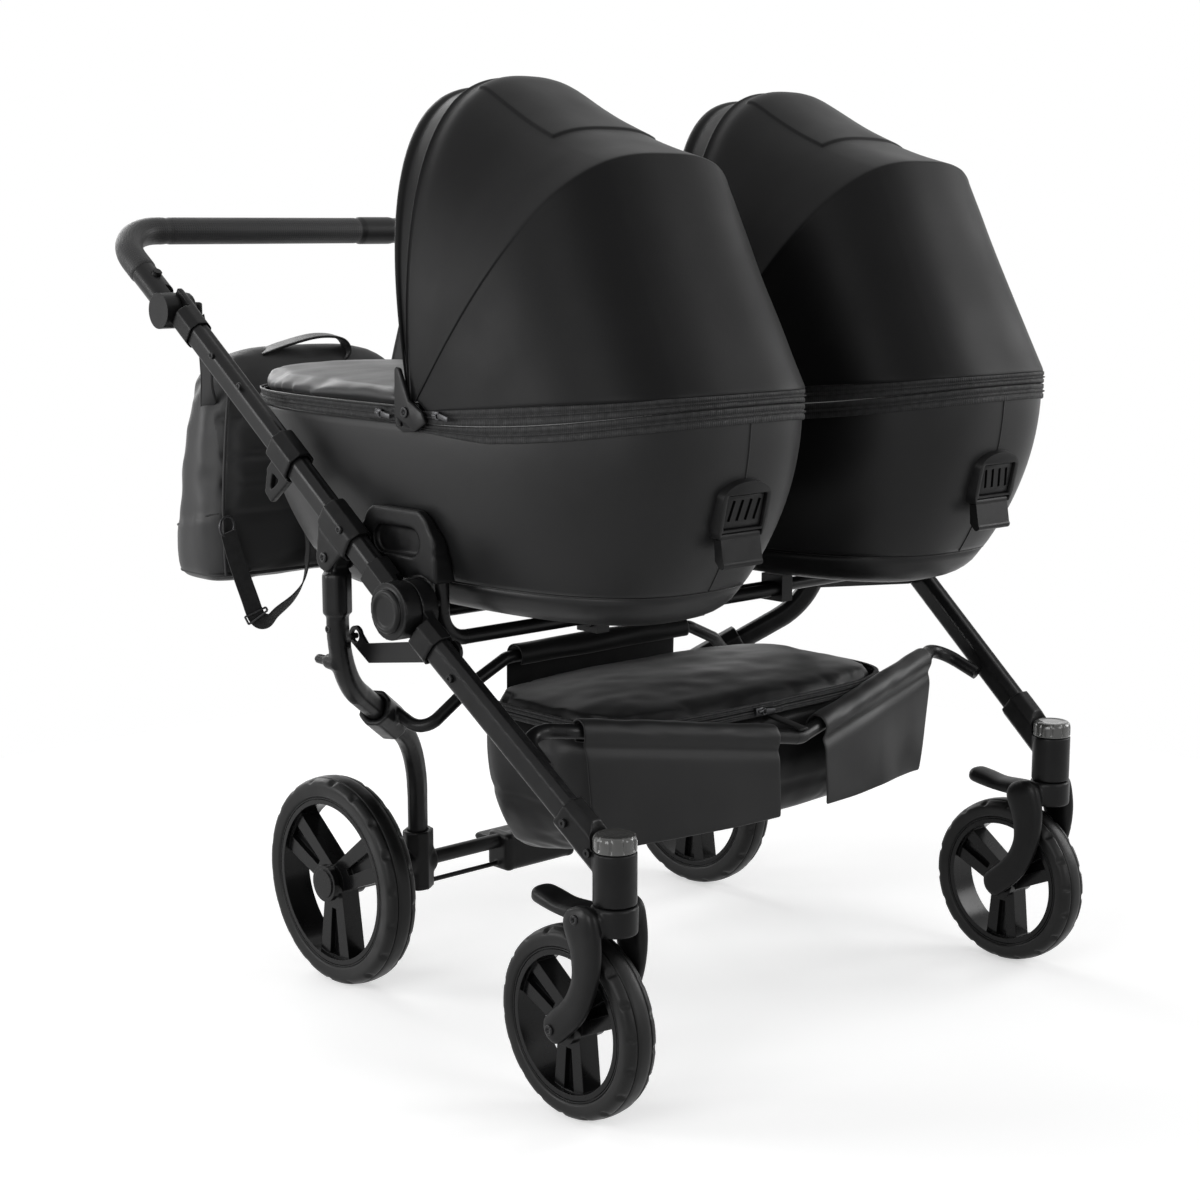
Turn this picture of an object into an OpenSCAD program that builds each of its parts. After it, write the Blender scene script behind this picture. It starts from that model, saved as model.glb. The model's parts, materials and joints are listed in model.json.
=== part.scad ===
// Side-by-side twin pram: folding tube frame, two carrycots with hoods, basket and hanging bag.
// Millimetres. +Z is up, the front wheels are towards -Y and the push handle towards +Y.
// The origin is on the floor, under the middle of the whole pram.

/* [Stance] */
// Distance from the rear axle to the front axles
wheelbase = 485; // [440:1:540]
// Distance between the middles of the front tyres
front_track = 714; // [700:1:760]
// Distance between the middles of the rear tyres
rear_track = 596; // [560:1:640]
// How far the rear axle lies behind the origin
axle_y = 121.5; // [110:0.5:135]
// Distance between the middle planes of the two side tubes
frame_w = 784; // [776:1:830]

/* [Wheels] */
// Front wheel diameter
front_wheel_d = 200; // [180:1:210]
// Rear wheel diameter
rear_wheel_d = 250; // [220:1:270]
// Tyre width
tyre_w = 40; // [32:1:44]
// Radial depth of a front tyre
front_tyre_depth = 20; // [14:1:26]
// Radial depth of a rear tyre
rear_tyre_depth = 23; // [16:1:28]
// Tread notches around each shoulder
tread_notches = 18; // [12:1:24]
// Front axle bolt diameter
front_axle_d = 10; // [8:0.5:12]
// Rear axle diameter inside the wheels
rear_axle_d = 12; // [10:0.5:14]
// Steering axis ahead of the front axle
trail = 55; // [40:1:65]

/* [Side tubes] */
// Height of the side tube section
tube_h = 32; // [26:1:36]
// Width of the side tube section
tube_w = 24; // [20:1:26]
// Fold knuckle ahead of the rear axle
knuckle_ahead = 255; // [240:1:275]
// Height of the fold knuckle
knuckle_z = 496; // [485:1:505]
// Radius of the knuckle disc
knuckle_r = 31; // [28:0.5:34]
// Length of an upper tube from knuckle to handle joint
upper_len = 527; // [480:1:580]
// Slope of the upper tubes
upper_rise = 35.3; // [32:0.1:38]
// Height where a lower tube meets its steering head
head_tube_z = 272; // [262:1:280]

/* [Handle] */
// Length of a handle arm from joint to bar
arm_len = 162; // [140:1:180]
// Slope of the handle arms
arm_rise = 34.2; // [20:0.1:60]
// Handle tube diameter
handle_d = 22; // [18:0.5:25]
// Diameter over the handle wrap
grip_d = 33; // [28:0.5:36]
// Bend radius of the handle corners
handle_bend = 62; // [50:1:75]
// Handle joint below the upper tube's middle line
joint_drop = 9; // [0:0.5:12]
// Radius of the handle joint discs
handle_joint_r = 21; // [19:0.5:24]

/* [Rear legs] */
// Leg pivot along the upper tube from the knuckle
leg_along = 123; // [116:1:132]
// Leg pivot below the upper tube's middle line
leg_drop = 34.5; // [33:0.5:40]
// Leg section along the bend plane
leg_h = 28; // [24:1:30]
// Leg section across the bend plane
leg_w = 22; // [18:1:23]
// Distance between the feet of the two legs
leg_foot_w = 366; // [340:1:400]
// Height of the upper bend corner
leg_bend_top = 405; // [390:1:420]
// Height of the lower bend corner
leg_bend_low = 272; // [255:1:290]
// Bend radius of the legs
leg_bend_r = 105; // [90:1:110]
// Accessory stud diameter
stud_d = 12; // [10:0.5:14]

/* [Carrycots] */
// Length of a cot at its rim
cot_len = 714; // [660:1:760]
// Width of a cot at its rim
cot_w = 334; // [300:1:340]
// Gap between the two cots
cot_gap = 72; // [60:1:90]
// Middle of the cots behind the origin
cot_y = -91.5; // [-105:0.5:-80]
// Height of the cot floor's underside
cot_low_z = 486; // [484:1:500]
// Height of the rim at the foot end
rim_z = 688; // [675:1:700]
// Rise of the rim towards the head end
rim_rise = 28; // [10:1:40]
// Thickness of the padded walls
cot_wall = 12; // [8:1:18]
// Height of the crowned foot cover over the rim
apron_crown = 34; // [20:1:45]
// Thickness of the mattress at its crown
mattress_h = 36; // [25:1:45]

/* [Hoods] */
// Hood hinge ahead of the cot middle
hinge_ahead = 31; // [20:1:45]
// Height of the hood over its hinge
hood_h = 345.5; // [320:0.5:360]
// Reach of the hood from its hinge to the head end
hood_reach = 336; // [320:1:345]
// Angle of the middle hoop above the rim
hoop_angle = 51.5; // [40:0.5:60]
// Reach of the middle hoop from the hinge
hoop_reach = 333; // [320:1:345]
// Sag of the fabric between the hoop and the bow
hood_sag = 8; // [2:0.5:10]
// Lean of the front bow from upright, towards the foot
bow_lean = 13; // [0:0.5:16]
// Thickness of the hood fabric shell
hood_t = 6; // [4:0.5:8]

/* [Basket and bag] */
// Basket bar diameter
bar_d = 16; // [12:0.5:18]
// Basket half width at its mouth
basket_half_w = 236; // [200:1:250]
// Basket bottom height
basket_low_z = 172; // [165:1:200]
// Width of the bag at its base
bag_w = 330; // [260:1:350]
// Height of the bag
bag_h = 285; // [250:1:300]
// Depth of the bag
bag_d = 114; // [90:1:120]
// Bag middle, to the right of the pram's middle
bag_x = -147; // [-160:1:-130]

/* [Fits] */
// Radial clearance of a turning pin
run_fit = 0.05; // [0.02:0.01:0.1]
// Gap between seated pieces of one body
seat = 0.15; // [0.1:0.05:0.3]
// Gap between pieces that move past each other
clear = 0.5; // [0.3:0.1:1]

/* [Hidden] */
$fn = 48;
X = [1, 0, 0];

// Main reference points of the +X side
side_x = frame_w / 2;
knuckle = [side_x, axle_y - knuckle_ahead, knuckle_z];
up_dir = [0, cos(upper_rise), sin(upper_rise)];
up_normal = [0, -sin(upper_rise), cos(upper_rise)];
handle_pivot = knuckle + upper_len * up_dir - joint_drop * up_normal;
arm_dir = [0, cos(arm_rise), sin(arm_rise)];
bar_mid = handle_pivot + arm_len * arm_dir;
steer = [front_track / 2, axle_y - wheelbase - trail, 0];
head_low_z = 236;
head_top_z = 290;
head_r = 22.5;
head_reach = 46;
head_point = [steer[0], steer[1], head_tube_z];
low_len = norm(head_point - knuckle);
low_dir = (head_point - knuckle) / low_len;
leg_pivot = knuckle + leg_along * up_dir - leg_drop * up_normal;
leg_foot = [leg_foot_w / 2, axle_y, rear_wheel_d / 2];
leg_run = [leg_foot[0] - leg_pivot[0], leg_foot[1] - leg_pivot[1], 0];
leg_turn = atan2(leg_run[1], leg_run[0]);
link_rear = [side_x, leg_pivot[1], 448];
link_front = knuckle + 66 * low_dir;
cot_x = (cot_w + cot_gap) / 2;
hinge_y = cot_y - hinge_ahead;
hinge_z = rim_z + 2;
black = [0.03, 0.03, 0.032];
paint = [0.05, 0.05, 0.053];
plastic = [0.07, 0.07, 0.072];
leather = [0.09, 0.09, 0.095];
smoke = [0.3, 0.3, 0.3, 0.7];

function unit(v) = v / norm(v);
function mix(a, b, t) = a + (b - a) * t;
function spow(v, p) = sign(v) * pow(abs(v), p);

// Pieces are drawn on the +X side; the right-hand side is the mirror of it
module right() { mirror(X) children(); }
module both() {
    children();
    mirror(X) children();
}

// Local Z runs from a to b, local Y stays level; an upright span is turned to the given heading
module span(a, b, heading = 0) {
    d = b - a;
    upright = abs(d[0]) + abs(d[1]) < 0.001;
    translate(a) rotate([0, acos(d[2] / norm(d)), upright ? heading : atan2(d[1], d[0])]) children();
}
module rod(a, b, r) { span(a, b) cylinder(h = norm(b - a), r = r); }

// Eight-sided tube section with a shallow groove along its top
module section(h, w, groove = 0) {
    c = min(h, w) * 0.28;
    difference() {
        polygon([[h/2, w/2 - c], [h/2 - c, w/2], [c - h/2, w/2], [-h/2, w/2 - c],
                 [-h/2, c - w/2], [c - h/2, -w/2], [h/2 - c, -w/2], [h/2, c - w/2]]);
        if (groove > 0) translate([-h/2 - 1, -groove/2]) square([2.2, groove]);
    }
}
module beam(a, b, h, w, groove = 0, heading = 0) {
    span(a, b, heading) linear_extrude(norm(b - a)) section(h, w, groove);
}

// Round rod through a list of points, with an arc of radius bend at each inner point.
// The straight lengths reach a little way into the arcs, which are swollen by forming.
bend_lap = 1.5;
bend_swell = 0.2;
function trim(p, i, bend) = i == 0 || i == len(p) - 1 ? 0
    : bend * tan(acos(unit(p[i] - p[i-1]) * unit(p[i+1] - p[i])) / 2);
module bent_rod(p, r, bend) {
    for (i = [0 : len(p) - 2]) {
        d = unit(p[i+1] - p[i]);
        a = i == 0 ? 0 : trim(p, i, bend) - bend_lap;
        b = i == len(p) - 2 ? 0 : trim(p, i + 1, bend) - bend_lap;
        rod(p[i] + d * a, p[i+1] - d * b, r);
    }
    for (i = [1 : len(p) - 2]) bent_corner(p[i-1], p[i], p[i+1], bend) circle(r + bend_swell);
}
module bent_corner(before, corner, after, bend) {
    d1 = unit(corner - before);
    d2 = unit(after - corner);
    turn = acos(d1 * d2);
    start = corner - d1 * bend * tan(turn / 2);
    inward = unit(d2 - d1 * (d1 * d2));
    e1 = -inward;
    e3 = cross(e1, d1);
    c = start + inward * bend;
    multmatrix([[e1[0], d1[0], e3[0], c[0]], [e1[1], d1[1], e3[1], c[1]], [e1[2], d1[2], e3[2], c[2]]])
        rotate_extrude(angle = turn) translate([bend, 0]) children();
}

// Flat-sided bar bent in one upright plane, its section turned with the bends
module bent_bar(p, h, w, bend, heading) {
    for (i = [0 : len(p) - 2]) {
        d = unit(p[i+1] - p[i]);
        a = i == 0 ? 0 : trim(p, i, bend) - bend_lap;
        b = i == len(p) - 2 ? 0 : trim(p, i + 1, bend) - bend_lap;
        beam(p[i] + d * a, p[i+1] - d * b, h, w, 0, heading);
    }
    for (i = [1 : len(p) - 2]) bent_corner(p[i-1], p[i], p[i+1], bend)
        section(h + 2*bend_swell, w + 2*bend_swell);
}

// Closed skin over a stack of loops with the same number of points, capped at both ends
function loop_faces(n, m) = [for (i = [0 : n - 2], j = [0 : m - 1], k = [0, 1])
    k == 0 ? [i*m + j, (i+1)*m + j, i*m + (j+1) % m] : [i*m + (j+1) % m, (i+1)*m + j, (i+1)*m + (j+1) % m]];
function fan_faces(n, m) = concat([for (j = [1 : m - 2]) [0, j, j + 1]],
    [for (j = [1 : m - 2]) [(n-1)*m, (n-1)*m + j + 1, (n-1)*m + j]]);
function strip_faces(n, m) = [for (e = [0, n - 1], j = [0 : m/2 - 2], k = [0, 1])
    let (a = e*m + j, b = a + 1, c = e*m + m - 1 - j, d = c - 1, f = k == 0 ? [a, b, d] : [a, d, c])
    e == 0 ? f : [f[2], f[1], f[0]]];
module skin(loops, strip = false) {
    n = len(loops);
    m = len(loops[0]);
    polyhedron([for (l = loops, q = l) q],
        concat(loop_faces(n, m), strip ? strip_faces(n, m) : fan_faces(n, m)));
}

// Side tubes and fold knuckles
tube_start = knuckle_r + 6;
module lower_tube() {
    color(paint) {
        beam(knuckle + tube_start * low_dir, head_point - head_reach * low_dir, tube_h, tube_w, 5);
        rod(link_front, [link_plane - 3, link_front[1], link_front[2]], 4);
    }
}
module lower_tube_right() { right() lower_tube(); }
module lower_tube_left() { lower_tube(); }

// One half of a fold knuckle: a disc on its own side of the split and a socket round the tube
knuckle_half = 22;
socket_wall = 4;
module knuckle_half_body(dir, outer, socket_end) {
    x0 = outer ? side_x + clear / 2 : side_x - knuckle_half;
    x1 = outer ? side_x + knuckle_half : side_x - clear / 2;
    translate([x0, knuckle[1], knuckle[2]]) rotate([0, 90, 0]) cylinder(h = x1 - x0, r = knuckle_r);
    intersection() {
        beam(knuckle, knuckle + tube_start * dir, tube_h + 2*socket_wall, tube_w + 2*socket_wall);
        translate([x0, -500, 0]) cube([x1 - x0, 1000, 1000]);
    }
    difference() {
        beam(knuckle + (knuckle_r + 2) * dir, knuckle + socket_end * dir,
            tube_h + 2*socket_wall, tube_w + 2*socket_wall);
        beam(knuckle + (tube_start - seat) * dir, knuckle + (socket_end + 1) * dir,
            tube_h + 2*seat, tube_w + 2*seat);
    }
}
knuckle_pin_r = 6;
module lower_knuckles() {
    color(plastic) both() {
        knuckle_half_body(low_dir, false, 62);
        translate([side_x - 1, knuckle[1], knuckle[2]]) rotate([0, 90, 0])
            cylinder(h = knuckle_half - 4, r = knuckle_pin_r);
    }
}
module upper_knuckles() {
    color(plastic) both() difference() {
        union() {
            knuckle_half_body(up_dir, true, 62);
            translate([side_x + knuckle_half - 0.5, knuckle[1], knuckle[2]]) rotate([0, 90, 0])
                cylinder(h = 3, r = knuckle_r - 8);
        }
        translate([side_x - 1, knuckle[1], knuckle[2]]) rotate([0, 90, 0])
            cylinder(h = knuckle_half - 2, r = knuckle_pin_r + run_fit);
        translate([side_x + knuckle_half + 1.5, knuckle[1], knuckle[2]]) rotate([0, 90, 0])
            difference() {
                cylinder(h = 3, r = knuckle_r - 11);
                translate([0, 0, -1]) cylinder(h = 5, r = knuckle_r - 13);
            }
    }
}
module upper_tube() {
    color(paint) beam(knuckle + tube_start * up_dir, knuckle + (upper_len - joint_len + 12) * up_dir,
        tube_h, tube_w, 5);
}
module upper_tube_right() { right() upper_tube(); }
module upper_tube_left() { upper_tube(); }

// Steering heads: upright bearing barrel, socket for the lower tube and a smoked cap
stem_r = 7;
module steering_head() {
    color(plastic) difference() {
        union() {
            translate([steer[0], steer[1], head_low_z]) cylinder(h = head_top_z - head_low_z, r = head_r);
            beam(head_point - 78 * low_dir, head_point, tube_h + 2*socket_wall, tube_w + 2*socket_wall);
        }
        beam(head_point - 80 * low_dir, head_point - (head_reach - seat) * low_dir,
            tube_h + 2*seat, tube_w + 2*seat);
        translate([steer[0], steer[1], head_low_z - 30]) cylinder(h = 30, r = 60);
        translate([steer[0], steer[1], head_top_z]) cylinder(h = 40, r = head_r + 1);
        translate([steer[0], steer[1], head_low_z - 1]) cylinder(h = 48, r = stem_r + run_fit);
    }
}
module steering_head_right() { right() steering_head(); }
module steering_head_left() { steering_head(); }
cap_h = 18;
cap_flutes = 10;
module head_caps() {
    color(smoke) both() translate([steer[0], steer[1], head_top_z + seat]) difference() {
        intersection() {
            cylinder(h = cap_h, r = head_r - 0.5);
            translate([0, 0, -8]) sphere(r = 31);
        }
        for (i = [0 : cap_flutes - 1]) rotate(i * 360 / cap_flutes)
            translate([head_r + 0.6, 0, 3]) cylinder(h = cap_h, r = 2.4);
    }
}

// Front forks: crown, two swept legs, steering stem, lever pin and axle bolt
fork_gap = tyre_w / 2 + 4;
fork_leg_t = 11;
crown_half = fork_gap + fork_leg_t - 12;
axle_z = front_wheel_d / 2;
lever_pivot = [0, steer[1] + 34, axle_z + front_wheel_d / 2 + 17.5];
module fork() {
    color(plastic) difference() {
        union() {
            translate([steer[0], steer[1], 0]) {
                fork_legs();
                translate([0, 0, front_wheel_d + 6]) fork_crown(head_low_z - front_wheel_d - 6 - clear);
                translate([0, 0, front_wheel_d + 8]) cylinder(h = 70, r = stem_r);
            }
            translate([steer[0] - fork_gap - 1, lever_pivot[1], lever_pivot[2]]) rotate([0, 90, 0])
                cylinder(h = 2*fork_gap + 2, r = 3);
            translate([steer[0] - fork_gap - fork_leg_t - 2, axle_y - wheelbase, axle_z]) rotate([0, 90, 0])
                cylinder(h = 2*(fork_gap + fork_leg_t + 2), r = front_axle_d / 2);
        }
        for (s = [-1, 1]) translate([steer[0] + s*(fork_gap + fork_leg_t + 4), axle_y - wheelbase, axle_z])
            rotate([0, 90, 0]) cylinder(h = 4, r = 2.5, center = true);
    }
}
module fork_crown(h) {
    cylinder(h = h, r = head_r + 1);
    linear_extrude(h - 3) union() {
        translate([-crown_half, -8]) square([2*crown_half, 24]);
        for (s = [-1, 1]) translate([s * crown_half, 4]) circle(12);
    }
}
module fork_legs() {
    for (s = [-1, 1]) translate([s * fork_gap, 0, 0]) rotate([90, 0, 90])
        translate([0, 0, s > 0 ? 0 : -fork_leg_t]) {
            linear_extrude(fork_leg_t) fork_outline();
            translate([trail, axle_z, s > 0 ? fork_leg_t - 1 : -1.5]) cylinder(h = 2.5, r = 11);
        }
}
function bezier(a, b, c, d, t) =
    pow(1 - t, 3) * a + 3 * t * pow(1 - t, 2) * b + 3 * t * t * (1 - t) * c + pow(t, 3) * d;
module fork_outline() {
    front = [for (i = [0 : 10])
        bezier([-4, axle_z + 128], [-2, axle_z + 78], [18, axle_z + 48], [trail - 14, axle_z - 9], i / 10)];
    back = [for (i = [0 : 10])
        bezier([trail + 7, axle_z + 13], [30, axle_z + 62], [33, axle_z + 92], [47, axle_z + 118], i / 10)];
    union() {
        polygon(concat(front, back));
        translate([trail, axle_z]) circle(16);
        translate([34, axle_z + 116]) circle(14);
    }
}
module fork_right() { right() fork(); }
module fork_left() { fork(); }

// Swivel lock lever: a curved horn over the wheel, hinged on the fork
lever_w = 2*fork_gap - 8;
module lock_lever() {
    color(plastic) translate([steer[0] - lever_w/2, lever_pivot[1], lever_pivot[2]]) rotate([90, 0, 90])
        difference() {
            intersection() {
                linear_extrude(lever_w) union() {
                    circle(9);
                    difference() {
                        polygon([[0, 9], [0, -9], [66, 2], [76, 12], [70, 22], [30, 14]]);
                        translate([38, 50]) circle(37);
                    }
                    translate([69, 12]) circle(10);
                }
                translate([0, 40, 0]) rotate([90, 0, 0]) linear_extrude(80) union() {
                    translate([-20, 0]) square([82, lever_w]);
                    translate([62, lever_w/2]) circle(lever_w/2);
                }
            }
            translate([0, 0, -1]) cylinder(h = lever_w + 2, r = 3 + run_fit);
        }
}
module lock_lever_right() { right() lock_lever(); }
module lock_lever_left() { lock_lever(); }

// Wheels, modelled about their own axis along Z
module tyre(d, depth) {
    r = d / 2;
    difference() {
        rotate_extrude($fn = 96) difference() {
            intersection() {
                translate([r - depth, -tyre_w/2]) square([depth, tyre_w]);
                translate([r - 45, 0]) circle(r = 45);
            }
            for (s = [-1, 1]) translate([r - 7, s * 9.5 - 0.6]) square([10, 1.2]);
        }
        for (i = [0 : tread_notches - 1], s = [-1, 1]) rotate((i + (s + 1) / 4) * 360 / tread_notches)
            translate([r, 0, s * tyre_w/2]) rotate([s * 35, 0, 0]) tread_notch();
    }
}
module tread_notch() {
    translate([-8, 0, -7]) linear_extrude(14) polygon([[0, 0], [18, 8], [18, -8]]);
}
module rim(d, depth, hub_r, hub_w, bore_r) {
    r = d/2 - depth - 2*seat;
    band = 8;
    difference() {
        union() {
            rotate_extrude($fn = 96) difference() {
                translate([r - band, -tyre_w/2 + 2]) square([band, tyre_w - 4]);
                translate([r - 2.5, -tyre_w/2 + 1]) square([1, 3]);
                translate([r - 2.5, tyre_w/2 - 4]) square([1, 3]);
            }
            for (i = [0 : 2]) rotate(i * 120) rim_spoke(r - band / 2);
            translate([0, 0, -hub_w/2]) cylinder(h = hub_w, r = hub_r);
        }
        translate([0, 0, -hub_w/2 - 1]) cylinder(h = hub_w + 2, r = bore_r);
    }
}
module rim_spoke(reach) {
    spoke_t = tyre_w - 16;
    difference() {
        translate([0, 0, -spoke_t/2]) linear_extrude(spoke_t)
            polygon([[0, 15], [0, -15], [reach, -reach * 0.3], [reach, reach * 0.3]]);
        for (s = [-1, 1]) translate([0, 0, s * spoke_t/2]) linear_extrude(14, center = true)
            polygon([[reach * 0.34, 4], [reach * 0.34, -4],
                     [reach * 0.93, -reach * 0.1], [reach * 0.93, reach * 0.1]]);
    }
}
module at_front_wheel() {
    translate([steer[0], axle_y - wheelbase, axle_z]) rotate([0, 90, 0]) children();
}
module at_rear_wheel() {
    translate([rear_track / 2, axle_y, rear_wheel_d / 2]) rotate([0, 90, 0]) children();
}
module front_tyre() { color(black) at_front_wheel() tyre(front_wheel_d, front_tyre_depth); }
module front_rim() {
    color(plastic) at_front_wheel()
        rim(front_wheel_d, front_tyre_depth, 20, 2*fork_gap - 4, front_axle_d/2 + run_fit);
}
module rear_tyre() { color(black) at_rear_wheel() tyre(rear_wheel_d, rear_tyre_depth); }
rear_hub_w = tyre_w + 4;
module rear_rim() {
    color(plastic) at_rear_wheel() {
        rim(rear_wheel_d, rear_tyre_depth, 20, rear_hub_w, rear_axle_d/2 + run_fit);
        translate([0, 0, rear_hub_w/2 - 3]) cylinder(h = 7, r = 22);
        translate([0, 0, rear_hub_w/2 + 3.5]) cylinder(h = 2, r = 17);
    }
}
module front_tyre_right() { right() front_tyre(); }
module front_tyre_left() { front_tyre(); }
module front_rim_right() { right() front_rim(); }
module front_rim_left() { front_rim(); }
module rear_tyre_right() { right() rear_tyre(); }
module rear_tyre_left() { rear_tyre(); }
module rear_rim_right() { right() rear_rim(); }
module rear_rim_left() { rear_rim(); }

// Handle joints on the upper tubes: rounded end socket, inner disc and pivot pin
joint_len = 34;
joint_half = 20;
module handle_joints() {
    tip = knuckle + upper_len * up_dir;
    base = tip - (joint_len + 26) * up_dir;
    color(plastic) both() {
        difference() {
            union() {
                translate([side_x - joint_half, handle_pivot[1], handle_pivot[2]]) rotate([0, 90, 0])
                    cylinder(h = joint_half - clear/2, r = handle_joint_r);
                intersection() {
                    beam(tip - joint_len * up_dir, tip + 8 * up_dir, tube_h + 4, tube_w + 8);
                    translate([side_x - joint_half, 0, 0]) cube([joint_half - clear/2, 800, 1200]);
                }
                beam(base, tip - (handle_joint_r + 3) * up_dir, tube_h + 4, tube_w + 6);
            }
            beam(base - up_dir, tip - (joint_len - 12 - seat) * up_dir, tube_h + 2*seat, tube_w + 2*seat);
        }
        translate([side_x - 1, handle_pivot[1], handle_pivot[2]]) rotate([0, 90, 0])
            cylinder(h = joint_half - 3, r = 5);
    }
}

// Push handle: bent tube with moulded elbows, outer joint discs and button seats
elbow_from = 14;
elbow_to = 74;
button_at = 52;
button_r = 6;
elbow_r = grip_d/2 - 1;
arm_normal = [0, -sin(arm_rise), cos(arm_rise)];
button_base = handle_pivot + button_at * arm_dir + (elbow_r - 7) * arm_normal;
handle_path = [handle_pivot + (elbow_to - 16) * arm_dir, bar_mid, [-bar_mid[0], bar_mid[1], bar_mid[2]],
    [-handle_pivot[0], handle_pivot[1], handle_pivot[2]] + (elbow_to - 16) * arm_dir];
module handle_bar() {
    color(paint) {
        bent_rod(handle_path, handle_d/2, handle_bend);
        both() difference() {
            union() {
                intersection() {
                    rod(handle_pivot + elbow_from * arm_dir, handle_pivot + elbow_to * arm_dir, elbow_r);
                    union() {
                        translate([side_x + clear/2, 0, 0]) cube([60, 800, 1200]);
                        translate(handle_pivot) rotate([arm_rise, 0, 0])
                            translate([-60, handle_joint_r + 9, -60]) cube([120, 120, 120]);
                    }
                }
                translate([side_x + clear/2, handle_pivot[1], handle_pivot[2]]) rotate([0, 90, 0])
                    cylinder(h = joint_half, r = handle_joint_r);
            }
            translate([side_x - 1, handle_pivot[1], handle_pivot[2]]) rotate([0, 90, 0])
                cylinder(h = joint_half - 1, r = 5 + run_fit);
            rod(button_base - clear * arm_normal, button_base + 20 * arm_normal, button_r + run_fit);
        }
    }
}
grip_start = elbow_to + seat;
grip_path = [handle_pivot + grip_start * arm_dir, bar_mid, [-bar_mid[0], bar_mid[1], bar_mid[2]],
    [-handle_pivot[0], handle_pivot[1], handle_pivot[2]] + grip_start * arm_dir];
module handle_grip() {
    color(leather) difference() {
        union() {
            bent_rod(grip_path, grip_d/2, handle_bend);
            translate([-28, bar_mid[1], bar_mid[2]]) rotate([0, 90, 0])
                cylinder(h = 56, r = grip_d/2 + 1.2);
        }
        bent_rod([grip_path[0] - arm_dir, grip_path[1], grip_path[2], grip_path[3] - arm_dir],
            handle_d/2 + seat, handle_bend);
    }
}
button_travel = 3;
module handle_button() {
    color(plastic) {
        rod(button_base + button_travel * arm_normal,
            button_base + (7 + button_travel) * arm_normal, button_r);
        rod(button_base + (6 + button_travel) * arm_normal,
            button_base + (8.2 + button_travel) * arm_normal, button_r - 1.2);
    }
}
module handle_button_right() { right() handle_button(); }
module handle_button_left() { handle_button(); }

// Fold release sliders: a collar on each upper tube with a pull paddle under it
slider_from = 228;
slider_len = 44;
module fold_slider() {
    a = knuckle + slider_from * up_dir;
    color(plastic) difference() {
        union() {
            beam(a, a + slider_len * up_dir, tube_h + 9, tube_w + 9);
            translate([side_x - 4, a[1], a[2]]) rotate([upper_rise, 0, 0]) rotate([90, 0, 90])
                linear_extrude(8) polygon([[2, -14], [42, -14], [46, -36], [34, -62], [18, -64], [10, -40]]);
        }
        beam(a - up_dir, a + (slider_len + 1) * up_dir, tube_h + 2*clear, tube_w + 2*clear);
        translate([side_x - 5, a[1], a[2]]) rotate([upper_rise, 0, 0]) rotate([90, 0, 90])
            linear_extrude(10) polygon([[20, -34], [34, -34], [27, -54]]);
    }
}
module fold_slider_right() { right() fold_slider(); }
module fold_slider_left() { fold_slider(); }

// Leg brackets: a clamp round each upper tube with two ears that carry the leg pin
ear_t = 5;
eye_r = 13;
leg_pin_r = 5;
ear_gap = leg_w/2 + clear;
bracket_from = 98;
bracket_len = 58;
module leg_brackets() {
    a = knuckle + bracket_from * up_dir;
    color(plastic) both() {
        difference() {
            union() {
                beam(a, a + bracket_len * up_dir, tube_h + 9, tube_w + 9);
                for (x = [ear_gap, -ear_gap - ear_t]) translate([side_x + x, 0, 0]) bracket_ear(a);
            }
            beam(a - up_dir, a + (bracket_len + 1) * up_dir, tube_h + 2*seat, tube_w + 2*seat);
        }
        translate([side_x - ear_gap - 1, leg_pivot[1], leg_pivot[2]]) rotate([0, 90, 0])
            cylinder(h = 2*ear_gap + 2, r = leg_pin_r);
    }
}
module bracket_ear(a) {
    translate([0, a[1], a[2]]) rotate([upper_rise, 0, 0]) rotate([90, 0, 90])
    linear_extrude(ear_t) union() {
        translate([leg_along - bracket_from, -leg_drop]) circle(16);
        polygon([[4, -14], [bracket_len - 4, -14], [leg_along - bracket_from + 15, -leg_drop - 4],
                 [leg_along - bracket_from - 15, -leg_drop - 4]]);
    }
}

// Rear legs: hinge eye, moulded socket and a flat-sided tube bent inwards to the axle
leg_top = leg_pivot - [0, 0, eye_r + 5];
leg_path = [leg_top, [leg_pivot[0], leg_pivot[1], leg_bend_top], [leg_foot[0], leg_foot[1], leg_bend_low],
    [leg_foot[0], leg_foot[1], leg_foot[2] - 4]];
link_plane = side_x - tube_w/2 - 12;
module rear_leg(with_stud) {
    color(paint) difference() {
        union() {
            bent_bar(leg_path, leg_h, leg_w, leg_bend_r, leg_turn);
            translate([leg_top[0], leg_top[1], leg_top[2] - 46]) rotate(leg_turn)
                linear_extrude(46) section(leg_h + 7, leg_w + 7);
            translate([leg_pivot[0] - leg_w/2, leg_pivot[1], leg_pivot[2]]) rotate([0, 90, 0])
                cylinder(h = leg_w, r = eye_r);
            translate([leg_pivot[0] - leg_w/2, leg_pivot[1] - 10, leg_top[2] - 4])
                cube([leg_w, 20, leg_pivot[2] - leg_top[2]]);
            rod(link_rear, [link_plane - 3, link_rear[1], link_rear[2]], 4);
            if (with_stud) {
                rod(leg_pivot + [0, 0, 420 - leg_pivot[2]], [side_x, leg_pivot[1] + leg_h/2 + 6, 420], 9);
                rod([side_x, leg_pivot[1] + 10, 420], [side_x, leg_pivot[1] + leg_h/2 + 26, 420], stud_d/2);
            }
        }
        translate([leg_pivot[0] - leg_w/2 - 1, leg_pivot[1], leg_pivot[2]]) rotate([0, 90, 0])
            cylinder(h = leg_w + 2, r = leg_pin_r + run_fit);
    }
}
module rear_leg_right() { right() rear_leg(true); }
module rear_leg_left() { rear_leg(false); }

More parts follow.
